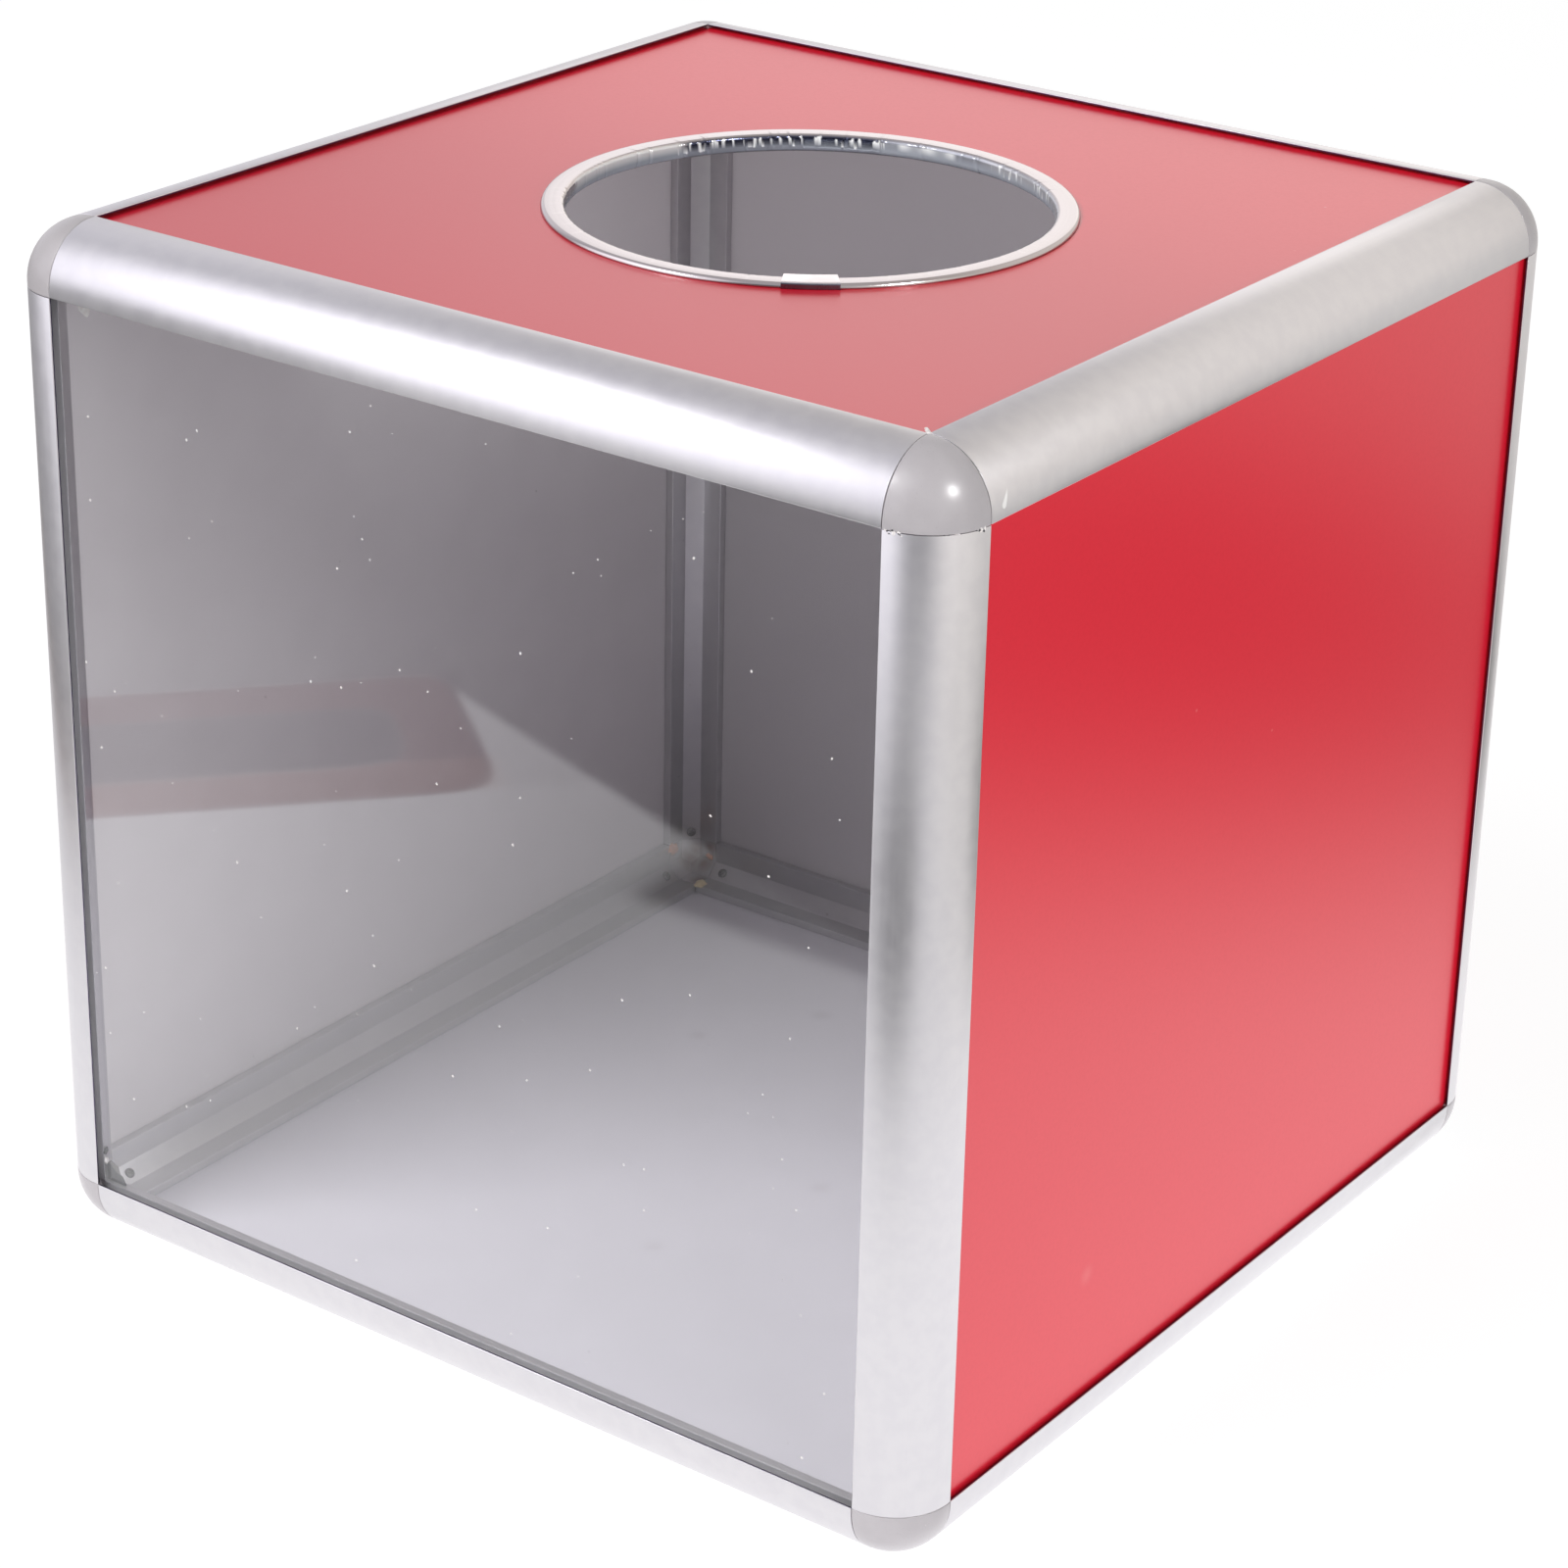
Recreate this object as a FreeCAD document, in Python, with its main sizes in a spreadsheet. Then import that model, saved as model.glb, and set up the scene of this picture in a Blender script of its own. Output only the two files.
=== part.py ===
# Cube-shaped draw box: twelve slotted quarter-round rails meet in eight three-way corner
# connectors, and six boards stand in the slots of the rails. The top board has a round hand
# hole with a bright edge trim. The origin is at the bottom centre, +Z is up, the clear board
# faces -Y, and every size is in millimetres.
import FreeCAD, Part
import Sketcher
import os

# Driving dimensions
SIZES = {
    # the whole box
    "overall_width": 300,
    "overall_depth": 300,
    "overall_height": 300,
    # section of a rail, measured in from its two outer planes
    "rail_width": 18,
    "rail_land": 1,
    "rail_wall": 1.2,
    "lip_thickness": 1.5,
    "slot_depth": 5,
    "inner_lip_thickness": 2.8,
    "inner_chamfer": 4.3,
    # boards that stand in the slots
    "board_thickness": 2.5,
    "board_clearance": 0.1,
    "board_edge_gap": 0.3,
    "board_corner_cut": 4,
    # legs of a corner connector
    "leg_length": 25,
    "leg_clearance": 0.15,
    "leg_lead_in": 2,
    "leg_lead_in_inset": 0.6,
    # hand hole and its edge trim
    "hole_clear_diameter": 131,
    "hole_offset_x": 3.4,
    "hole_offset_y": -0.8,
    "trim_width": 6.5,
    "trim_web": 1.2,
    "trim_flange": 1.3,
    "trim_clearance": 0.05,
    "trim_inner_bevel": 1.6,
    "trim_outer_bevel": 1,
    "trim_joint_gap": 0.6,
    "trim_joint_angle": 306,
    # folded clip over the joint of the trim
    "clip_length": 15,
    "clip_sheet": 0.5,
    "clip_clearance": 0.05,
}

# Straight bands in the quarter round of a corner's ball, few so that its facets stay few
BALL_BANDS = 6

# Derived sizes, as expressions of the sheet
CORNER_RADIUS = "(Size.rail_width - Size.rail_land)"
SLOT_WIDTH = "(Size.board_thickness + 2 * Size.board_clearance)"
SLOT_INNER = f"(Size.lip_thickness + {SLOT_WIDTH})"
SLOT_FLOOR = "(Size.rail_width - Size.slot_depth)"
LIP_FACE = f"({SLOT_INNER} + Size.inner_lip_thickness)"
CHAMFER_END = f"({LIP_FACE} + Size.inner_chamfer)"
BOARD_RECESS = "(Size.lip_thickness + Size.board_clearance)"
BOARD_INNER = f"({BOARD_RECESS} + Size.board_thickness)"
BOARD_EDGE = f"({SLOT_FLOOR} + Size.board_edge_gap)"
TRIM_INNER = "(Size.hole_clear_diameter / 2)"
TRIM_OUTER = f"({TRIM_INNER} + Size.trim_width)"
TRIM_CHANNEL = "(Size.board_thickness + 2 * Size.trim_clearance)"
TRIM_HEIGHT = f"({TRIM_CHANNEL} + 2 * Size.trim_flange)"
CLIP_REACH = "(Size.clip_sheet + Size.clip_clearance)"

X = FreeCAD.Vector(1, 0, 0)
Y = FreeCAD.Vector(0, 1, 0)
Z = FreeCAD.Vector(0, 0, 1)
ORIGIN = FreeCAD.Vector()
AXES = (X, Y, Z)
OVERALL = ("Size.overall_width", "Size.overall_depth", "Size.overall_height")

doc = FreeCAD.newDocument("DrawBox")
sheet = doc.addObject("Spreadsheet::Sheet", "Size")
for row, (alias, size) in enumerate(SIZES.items(), start=1):
    sheet.set(f"A{row}", alias)
    sheet.set(f"B{row}", str(size))
    sheet.setAlias(f"B{row}", alias)
doc.recompute()
nodes = []
cuts = []


def value(expression):
    """The number that an expression of the sheet gives now."""
    return float(sheet.evalExpression(expression.replace("Size.", "")))


def new_body(label):
    body = doc.addObject("PartDesign::Body", label)
    body.Label = label
    nodes.append(body)
    return body


def attach(feature, body, turn=0, lift="0"):
    """Put a feature on the body's XY plane, lifted along Z.

    Each turn about the body diagonal carries X to Y, Y to Z and Z to X.
    """
    planes = [item for item in body.Origin.OriginFeatures if item.Role == "XY_Plane"]
    feature.AttachmentSupport = [(planes[0], "")]
    feature.MapMode = "FlatFace"
    turned = FreeCAD.Rotation(X + Y + Z, 120 * turn)
    feature.AttachmentOffset = FreeCAD.Placement(ORIGIN, turned)
    feature.setExpression("AttachmentOffset.Base." + "zxy"[turn], lift)


def arc_between(start, end, centre):
    """The shorter arc from start to end, and which of its ends each of them is."""
    circle = Part.Circle(centre, Z, (start - centre).Length)
    first, last = (start, end)
    anticlockwise = (start - centre).cross(end - centre).z > 0
    if not anticlockwise:
        first, last = (end, start)
    arc = Part.ArcOfCircle(circle, circle.parameter(first), circle.parameter(last))
    return arc, (1, 2) if anticlockwise else (2, 1)


def draw(sketch, corners):
    """Draw a closed outline whose corners are bound to sizes.

    A corner is (x, y), followed by a line, or (x, y, centre x, centre y), followed by an arc.
    """
    points = [FreeCAD.Vector(value(corner[0]), value(corner[1]), 0) for corner in corners]
    edges = []
    for corner, start, end in zip(corners, points, points[1:] + points[:1]):
        ends = (1, 2)
        piece = Part.LineSegment(start, end)
        if len(corner) == 4:
            centre = FreeCAD.Vector(value(corner[2]), value(corner[3]), 0)
            piece, ends = arc_between(start, end, centre)
        edges.append((sketch.addGeometry(piece), ends))
    for corner, (edge, ends), (following, next_ends) in zip(corners, edges, edges[1:] + edges[:1]):
        sketch.addConstraint(Sketcher.Constraint("Coincident", edge, ends[1], following, next_ends[0]))
        bind_point(sketch, edge, ends[0], corner[0], corner[1])
        if len(corner) == 4:
            bind_distance(sketch, "DistanceX", edge, 3, corner[2])


def bind_point(sketch, edge, end, x_size, y_size):
    for kind, axis, size in (("DistanceX", -2, x_size), ("DistanceY", -1, y_size)):
        if size == "0":
            sketch.addConstraint(Sketcher.Constraint("PointOnObject", edge, end, axis))
        else:
            bind_distance(sketch, kind, edge, end, size)


def bind_distance(sketch, kind, edge, end, size):
    index = sketch.addConstraint(Sketcher.Constraint(kind, -1, 1, edge, end, value(size)))
    sketch.setExpression(f"Constraints[{index}]", size)


def new_sketch(body, name, loops, turn=0, lift="0"):
    sketch = body.newObject("Sketcher::SketchObject", name)
    attach(sketch, body, turn, lift)
    for corners in loops:
        draw(sketch, corners)
    return sketch


def add_pad(body, name, sketch, length):
    pad = body.newObject("PartDesign::Pad", name)
    pad.Profile = sketch
    pad.setExpression("Length", length)
    return pad


# Section of a rail
def rail_outline():
    """Outer round, its two flat lands, the two board slots and the chamfered inner side."""
    width = "Size.rail_width"
    lip = "Size.lip_thickness"
    return [
        ("0", width),
        ("0", CORNER_RADIUS, CORNER_RADIUS, CORNER_RADIUS),
        (CORNER_RADIUS, "0"),
        (width, "0"),
        (width, lip),
        (SLOT_FLOOR, lip),
        (SLOT_FLOOR, SLOT_INNER),
        (width, SLOT_INNER),
        (width, LIP_FACE),
        (CHAMFER_END, LIP_FACE),
        (LIP_FACE, CHAMFER_END),
        (LIP_FACE, width),
        (SLOT_INNER, width),
        (SLOT_INNER, SLOT_FLOOR),
        (lip, SLOT_FLOOR),
        (lip, width),
    ]


def core_outline(inset="0", round_side=True):
    """Hollow core of a rail, or with an inset the leg that slides into it.

    The leg's round side is cut in two flats, which bear on the core along three lines.
    """
    side = f"({SLOT_FLOOR} - Size.rail_wall - {inset})"
    radius = f"({CORNER_RADIUS} - Size.rail_wall - {inset})"
    near = f"({CORNER_RADIUS} - sqrt({radius}^2 - ({CORNER_RADIUS} - {side})^2))"
    far = f"({LIP_FACE} + {CHAMFER_END} - sqrt(2) * (Size.rail_wall + {inset}) - {side})"
    middle = f"({CORNER_RADIUS} - {radius} / sqrt(2))"
    flats = [(near, side), (far, side), (side, far)]
    if round_side:
        return flats + [(side, near, CORNER_RADIUS, CORNER_RADIUS)]
    return flats + [(side, near), (middle, middle)]


# Rails
def build_rail(label, run, sides):
    """A rail along axis number run, between the two outer planes on the given sides."""
    body = new_body(label)
    section = new_sketch(body, "Section", [rail_outline(), core_outline()])
    length = f"({OVERALL[run]} - 2 * Size.rail_width)"
    add_pad(body, "Extrusion", section, length)
    across = [axis for axis in range(3) if axis != run]
    inward = [AXES[axis] * -sides[axis] for axis in across]
    along = inward[0].cross(inward[1])
    body.Placement = FreeCAD.Placement(ORIGIN, FreeCAD.Rotation(inward[0], inward[1], along, "ZXY"))
    for axis in across:
        place(body, axis, sides[axis], "0")
    place(body, run, -1 if along[run] > 0 else 1, "Size.rail_width")


def place(body, axis, side, depth):
    """Put a body's origin at a depth inside the outer plane on one side of the box."""
    plane = f"{side} * {OVERALL[axis]} / 2"
    if axis == 2:
        plane = "0" if side < 0 else OVERALL[axis]
    body.setExpression("Placement.Base." + "xyz"[axis], f"{plane} - {side} * {depth}")


# Corner connectors
def ball_points():
    """Points on the quarter round of a ball, between its two ends on the outer planes."""
    turns = [90 * step / BALL_BANDS for step in range(1, BALL_BANDS)]
    return [(f"({CORNER_RADIUS} * (1 - sin({turn})))", f"({CORNER_RADIUS} * (1 - cos({turn})))")
            for turn in turns]


def build_corner(label, sides):
    """A ball-shaped cap outside, the rail section carried round inside, and three legs."""
    body = new_body(label)
    width = "Size.rail_width"
    radius = CORNER_RADIUS
    ball = body.newObject("PartDesign::Revolution", "Ball")
    half = body.newObject("Sketcher::SketchObject", "BallOutline")
    attach(half, body)
    half.AttachmentOffset = FreeCAD.Placement(ORIGIN, FreeCAD.Rotation(-X, Z, Y, "ZXY"))
    for axis in "xy":
        half.setExpression("AttachmentOffset.Base." + axis, radius)
    rounded = [(f"({radius} - {across})", depth) for across, depth in ball_points()]
    draw(half, [("0", "0")] + rounded + [(radius, radius), (radius, width), ("0", width)])
    ball.Profile = half
    ball.ReferenceAxis = (half, ["V_Axis"])
    ball.Angle = 90
    rim = [(radius, "0")] + ball_points() + [("0", radius), ("0", width), (width, width), (width, "0")]
    for turn in (1, 2):
        end = new_sketch(body, f"EndOutline{turn}", [rim], turn, radius)
        add_pad(body, f"End{turn}", end, "Size.rail_land")
    inside = body.newObject("PartDesign::SubtractiveBox", "Inside")
    attach(inside, body)
    for side_length, axis in (("Length", "x"), ("Width", "y"), ("Height", "z")):
        inside.setExpression(side_length, width)
        inside.setExpression("AttachmentOffset.Base." + axis, LIP_FACE)
    cuts.append(inside)
    for turn in range(3):
        add_arm(body, turn)
    axes = [AXES[axis] * -sides[axis] for axis in range(3)]
    if axes[0].cross(axes[1]).dot(axes[2]) < 0:
        axes[0], axes[1] = (axes[1], axes[0])
    body.Placement = FreeCAD.Placement(ORIGIN, FreeCAD.Rotation(*axes, "ZXY"))
    for axis in range(3):
        place(body, axis, sides[axis], "0")


def add_arm(body, turn):
    """One of the three arms: inner chamfer, pocket for a board's corner, and leg."""
    width = "Size.rail_width"
    chamfer = [(LIP_FACE, LIP_FACE), (CHAMFER_END, LIP_FACE), (LIP_FACE, CHAMFER_END)]
    web = new_sketch(body, f"WebOutline{turn}", [chamfer], turn, LIP_FACE)
    add_pad(body, f"Web{turn}", web, f"({width} - {LIP_FACE})")
    cut = f"({BOARD_EDGE} + Size.board_corner_cut - (sqrt(2) - 1) * Size.board_edge_gap)"
    board_corner = [
        (width, SLOT_FLOOR),
        (width, width),
        (SLOT_FLOOR, width),
        (SLOT_FLOOR, cut),
        (cut, SLOT_FLOOR),
    ]
    pocket = body.newObject("PartDesign::Pocket", f"BoardPocket{turn}")
    pocket.Profile = new_sketch(body, f"PocketOutline{turn}", [board_corner], turn, "Size.lip_thickness")
    pocket.Reversed = True
    pocket.setExpression("Length", SLOT_WIDTH)
    cuts.append(pocket)
    leg = new_sketch(body, f"LegOutline{turn}", [core_outline("Size.leg_clearance", False)], turn, width)
    add_pad(body, f"Leg{turn}", leg, "(Size.leg_length - Size.leg_lead_in)")
    tip_inset = "(Size.leg_clearance + Size.leg_lead_in_inset)"
    tip_start = f"({width} + Size.leg_length - Size.leg_lead_in)"
    tip = new_sketch(body, f"TipOutline{turn}", [core_outline(tip_inset, False)], turn, tip_start)
    add_pad(body, f"Tip{turn}", tip, "Size.leg_lead_in")


# Boards
def build_board(label, normal, side, across, up):
    """A board square to axis number normal, with its thickness pointing outwards."""
    body = new_body(label)
    long_side = f"({OVERALL[across]} - 2 * {BOARD_EDGE})"
    high_side = f"({OVERALL[up]} - 2 * {BOARD_EDGE})"
    cut = "Size.board_corner_cut"
    right = f"({long_side} - {cut})"
    top = f"({high_side} - {cut})"
    eight_sided = [
        (cut, "0"),
        (right, "0"),
        (long_side, cut),
        (long_side, top),
        (right, high_side),
        (cut, high_side),
        ("0", top),
        ("0", cut),
    ]
    add_pad(body, "Board", new_sketch(body, "BoardOutline", [eight_sided]), "Size.board_thickness")
    outward = AXES[normal] * side
    upward = AXES[up]
    sideways = upward.cross(outward)
    body.Placement = FreeCAD.Placement(ORIGIN, FreeCAD.Rotation(sideways, upward, outward, "ZXY"))
    place(body, normal, side, BOARD_INNER)
    place(body, across, -1 if sideways[across] > 0 else 1, BOARD_EDGE)
    place(body, up, -1, BOARD_EDGE)
    return body, long_side, high_side


def cut_hand_hole(body, long_side, high_side):
    """The round hole in the top board, large enough for the web of its trim."""
    sketch = new_sketch(body, "HandHoleOutline", [])
    circle = sketch.addGeometry(Part.Circle(ORIGIN, Z, value(TRIM_INNER)))
    bind_distance(sketch, "DistanceX", circle, 3, f"({long_side} / 2 + Size.hole_offset_x)")
    bind_distance(sketch, "DistanceY", circle, 3, f"({high_side} / 2 + Size.hole_offset_y)")
    radius = f"({TRIM_INNER} + Size.trim_web + Size.trim_clearance)"
    index = sketch.addConstraint(Sketcher.Constraint("Radius", circle, value(radius)))
    sketch.setExpression(f"Constraints[{index}]", radius)
    hole = body.newObject("PartDesign::Pocket", "HandHole")
    hole.Profile = sketch
    hole.Reversed = True
    hole.setExpression("Length", "Size.board_thickness")
    cuts.append(hole)


# Edge trim of the hand hole and the clip over its joint
def trim_outline():
    """Channel section: a web inside the hole and a bevelled flange on each face of the board."""
    inner_bevel = "Size.trim_inner_bevel"
    outer_bevel = "Size.trim_outer_bevel"
    web = f"({TRIM_INNER} + Size.trim_web)"
    channel_top = f"(Size.trim_flange + {TRIM_CHANNEL})"
    return [
        (f"({TRIM_INNER} + {inner_bevel})", "0"),
        (f"({TRIM_OUTER} - {outer_bevel})", "0"),
        (TRIM_OUTER, outer_bevel),
        (TRIM_OUTER, "Size.trim_flange"),
        (web, "Size.trim_flange"),
        (web, channel_top),
        (TRIM_OUTER, channel_top),
        (TRIM_OUTER, f"({TRIM_HEIGHT} - {outer_bevel})"),
        (f"({TRIM_OUTER} - {outer_bevel})", TRIM_HEIGHT),
        (f"({TRIM_INNER} + {inner_bevel})", TRIM_HEIGHT),
        (TRIM_INNER, f"({TRIM_HEIGHT} - {inner_bevel})"),
        (TRIM_INNER, inner_bevel),
    ]


def clip_outline():
    """Folded sheet that wraps the trim and ends just clear of both faces of the board."""
    top = f"({TRIM_HEIGHT} + 2 * {CLIP_REACH})"
    under_top = f"({top} - Size.clip_sheet)"
    inner = f"({TRIM_INNER} - {CLIP_REACH})"
    outer = f"({TRIM_OUTER} + {CLIP_REACH})"
    inner_skin = f"({TRIM_INNER} - Size.clip_clearance)"
    outer_skin = f"({TRIM_OUTER} + Size.clip_clearance)"
    low_end = f"(Size.trim_flange + {CLIP_REACH})"
    high_end = f"({top} - {low_end})"
    return [
        (inner, "0"),
        (outer, "0"),
        (outer, low_end),
        (outer_skin, low_end),
        (outer_skin, "Size.clip_sheet"),
        (inner_skin, "Size.clip_sheet"),
        (inner_skin, under_top),
        (outer_skin, under_top),
        (outer_skin, high_end),
        (outer, high_end),
        (outer, top),
        (inner, top),
    ]


def build_ring(label, outline, sweep, bearing, below):
    """Turn a section about the axis of the hand hole, evenly to both sides of a bearing."""
    body = new_body(label)
    turned = body.newObject("PartDesign::Revolution", "Turned")
    sketch = new_sketch(body, "Section", [outline], turn=1)
    turned.Profile = sketch
    turned.ReferenceAxis = (sketch, ["V_Axis"])
    turned.Midplane = True
    turned.setExpression("Angle", sweep)
    body.Placement = FreeCAD.Placement(ORIGIN, FreeCAD.Rotation(Z, bearing - 90))
    body.setExpression("Placement.Base.x", "Size.hole_offset_x")
    body.setExpression("Placement.Base.y", "Size.hole_offset_y")
    place(body, 2, 1, f"({BOARD_INNER} + Size.trim_clearance + Size.trim_flange + {below})")


FRONT = {-1: "front", 1: "back"}
LEFT = {-1: "left", 1: "right"}
LOW = {-1: "bottom", 1: "top"}
for high in (-1, 1):
    for deep in (-1, 1):
        build_rail(f"rail_{LOW[high]}_{FRONT[deep]}", 0, (0, deep, high))
    for aside in (-1, 1):
        build_rail(f"rail_{LOW[high]}_{LEFT[aside]}", 1, (aside, 0, high))
for deep in (-1, 1):
    for aside in (-1, 1):
        build_rail(f"post_{FRONT[deep]}_{LEFT[aside]}", 2, (aside, deep, 0))
for high in (-1, 1):
    for deep in (-1, 1):
        for aside in (-1, 1):
            build_corner(f"corner_{LOW[high]}_{FRONT[deep]}_{LEFT[aside]}", (aside, deep, high))
build_board("front_window", 1, -1, 0, 2)
build_board("back_panel", 1, 1, 0, 2)
build_board("left_panel", 0, -1, 1, 2)
build_board("right_panel", 0, 1, 1, 2)
build_board("base_panel", 2, -1, 0, 1)
top_board = build_board("top_panel", 2, 1, 0, 1)
cut_hand_hole(*top_board)
joint_sweep = f"Size.trim_joint_gap / {TRIM_INNER} * 180 / pi"
clip_sweep = f"Size.clip_length / {TRIM_OUTER} * 180 / pi"
joint_bearing = value("Size.trim_joint_angle")
build_ring("hole_trim", trim_outline(), f"360 - {joint_sweep}", joint_bearing + 180, "0")
build_ring("trim_joiner_clip", clip_outline(), clip_sweep, joint_bearing, CLIP_REACH)
doc.recompute()

# Nothing is written unless every feature and every piece is sound
for item in doc.Objects:
    if "Invalid" in item.State or "Error" in item.State:
        raise RuntimeError(f"{item.Label} failed: {item.State}")
for cut in cuts:
    if not cut.Shape.Volume < cut.BaseFeature.Shape.Volume:
        raise RuntimeError(f"{cut.Label} cuts nothing")
for node in nodes:
    if node.Shape.isNull() or not node.Shape.isValid():
        raise RuntimeError(f"{node.Label} has no valid shape")
os.makedirs("parts", exist_ok=True)
for node in nodes:
    node.Shape.exportStep(f"parts/{node.Label}.step")
    box = node.Shape.BoundBox
    print(f"{node.Label}: {len(node.Shape.Solids)} solid, {node.Shape.Volume:.0f} mm3, "
          f"x {box.XMin:.2f}..{box.XMax:.2f} y {box.YMin:.2f}..{box.YMax:.2f} "
          f"z {box.ZMin:.2f}..{box.ZMax:.2f}")
print(len(nodes), "nodes")
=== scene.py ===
# %% [markdown]
# # A cube-shaped raffle box, piece by piece
# The real box is a frame of quarter-round aluminium rails that push onto moulded corner
# connectors. Six boards stand in the slots of the rails: a clear one in front, red ones
# around, and a pale one to stand on. The top board has a round hand hole with a bright edge
# trim bent round it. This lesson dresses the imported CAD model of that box: it keeps what is
# already right, replaces what needs finer shapes, and gives every surface its finish.

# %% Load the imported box
from functools import partial
import bmesh
import bpy
import numpy as np
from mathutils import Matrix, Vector, geometry


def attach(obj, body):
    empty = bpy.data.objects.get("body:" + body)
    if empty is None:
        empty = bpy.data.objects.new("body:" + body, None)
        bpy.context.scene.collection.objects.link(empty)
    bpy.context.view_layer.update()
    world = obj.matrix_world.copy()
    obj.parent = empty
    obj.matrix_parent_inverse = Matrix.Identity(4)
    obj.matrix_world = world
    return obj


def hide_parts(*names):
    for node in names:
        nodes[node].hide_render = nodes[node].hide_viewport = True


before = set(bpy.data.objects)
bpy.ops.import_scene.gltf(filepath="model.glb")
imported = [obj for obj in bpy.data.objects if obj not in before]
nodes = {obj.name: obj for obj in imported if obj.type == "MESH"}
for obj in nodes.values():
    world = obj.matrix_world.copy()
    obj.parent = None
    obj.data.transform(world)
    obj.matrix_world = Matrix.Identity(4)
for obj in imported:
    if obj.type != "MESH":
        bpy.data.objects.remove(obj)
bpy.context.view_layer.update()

# %% [markdown]
# ## The camera
# The photograph was taken from the front right, a little above the box, with a long lens. The
# camera's place was worked out from the eight corners of the cube, so it's given as numbers
# here. Making it first means that every later render can be set against the photograph.

# %% Camera
camera_data = bpy.data.cameras.new("camera")
camera_data.lens = 96.96360537
camera_data.sensor_width = 36
camera = bpy.data.objects.new("camera", camera_data)
camera.location = (0.6381984539, -0.8868759944, 0.6238010113)
camera.rotation_euler = np.radians((65.58355488, -1.09266047, 36.3149453))
bpy.context.scene.collection.objects.link(camera)
bpy.context.scene.camera = camera
bpy.context.scene.view_settings.view_transform = "Standard"
print("camera lens", round(camera_data.lens, 2), "mm")

# %% [markdown]
# ## Small tools for meshes
# Every new piece below is worked out as whole numpy arrays. A piece is a list of points and a
# few arrays of faces. `new_piece` puts them into a mesh in one go, shades it smooth but
# keeps creases sharper than a given angle, and stores a UV map where a pattern has to follow
# the surface, such as the drawing lines of an extrusion.

# %% Put points and faces into a mesh
MM = 0.001


def flat32(values):
    return np.asarray(values, np.float32).ravel()


def new_piece(name, points, face_arrays, finish, run=None, crease=32, shade=None, tint=None):
    """A mesh object at the origin. Points are in millimetres, and run holds (along, around) in millimetres.
    Shade is one number for each point and tint one colour, for finishes that change along the piece."""
    faces = [array for array in face_arrays if len(array)]
    corners = np.concatenate([array.ravel() for array in faces]).astype(np.int32)
    sizes = np.concatenate([np.full(len(array), array.shape[1]) for array in faces])
    mesh = bpy.data.meshes.new(name)
    mesh.vertices.add(len(points))
    mesh.vertices.foreach_set("co", flat32(np.asarray(points, float) * MM))
    mesh.loops.add(len(corners))
    mesh.loops.foreach_set("vertex_index", corners)
    mesh.polygons.add(len(sizes))
    mesh.polygons.foreach_set("loop_start", (np.cumsum(sizes) - sizes).astype(np.int32))
    mesh.polygons.foreach_set("use_smooth", np.ones(len(sizes), bool))
    mesh.update(calc_edges=True)
    if run is not None:
        mesh.uv_layers.new(name="run").data.foreach_set("uv", flat32(np.asarray(run)[corners] * MM))
    if shade is not None:
        mesh.attributes.new("shade", "FLOAT", "POINT").data.foreach_set("value", flat32(shade))
    if tint is not None:
        mesh.attributes.new("tint", "FLOAT_COLOR", "POINT").data.foreach_set("color", flat32(tint))
    mesh.set_sharp_from_angle(angle=np.radians(crease))
    mesh.materials.append(finish)
    return shown(name, mesh)


def shown(name, mesh):
    """An object for a mesh, in the scene."""
    piece = bpy.data.objects.new(name, mesh)
    bpy.context.scene.collection.objects.link(piece)
    return piece


def belongs(piece, slot, *replaced):
    """The piece rides on the one body and stands for CAD nodes, which it hides. The slot is not used."""
    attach(piece, "root")
    if replaced:
        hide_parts(*replaced)


# %% [markdown]
# ## Rounded outlines and swept skins
# Real edges are never razor sharp: an extrusion's lips have small radii that catch a thin line
# of light. `rounded_outline` takes the corners of a section with one radius each and returns
# its points. A large radius is the same thing as a small one, so the quarter round of a
# rail is just the corner (0, 0) with a radius of 17 mm. `skin` joins rows of points into
# quads, and `lids` closes the two ends, also round a hollow core.

# %% Outline and skin helpers
def rounded_outline(corners, steps_per_turn=40, small_share=1.0):
    """Corners are (x, y, radius). Each becomes an arc tangent to its two sides:
    centre = corner + bisector * radius / sin(half angle), swept evenly between the two tangent points.
    Arcs over 5 mm get three times the steps, and arcs under 0.5 mm the small share of them."""
    table = np.array(corners, float)
    here, radius = table[:, :2], table[:, 2]
    back = np.roll(here, 1, 0) - here
    ahead = np.roll(here, -1, 0) - here
    back /= np.linalg.norm(back, axis=1, keepdims=True)
    ahead /= np.linalg.norm(ahead, axis=1, keepdims=True)
    half = np.arccos(np.clip((back * ahead).sum(1), -1, 1)) / 2
    middle = (back + ahead) / np.linalg.norm(back + ahead, axis=1, keepdims=True)
    centre = here + middle * (radius / np.sin(half))[:, None]
    reach = (radius / np.tan(half))[:, None]
    first, last = here + back * reach - centre, here + ahead * reach - centre
    turn = np.pi - 2 * half
    arcs = []
    for c, a, b, angle, size in zip(centre, first, last, turn, radius):
        steps = steps_per_turn * (angle / (2 * np.pi)) * (3 if size > 5 else small_share if size < 0.5 else 1)
        share = np.linspace(0, 1, max(3, int(round(steps))))
        blend = (np.sin((1 - share) * angle)[:, None] * a + np.sin(share * angle)[:, None] * b)
        arcs.append(c + blend / np.sin(angle))
    return np.concatenate(arcs)


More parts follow.
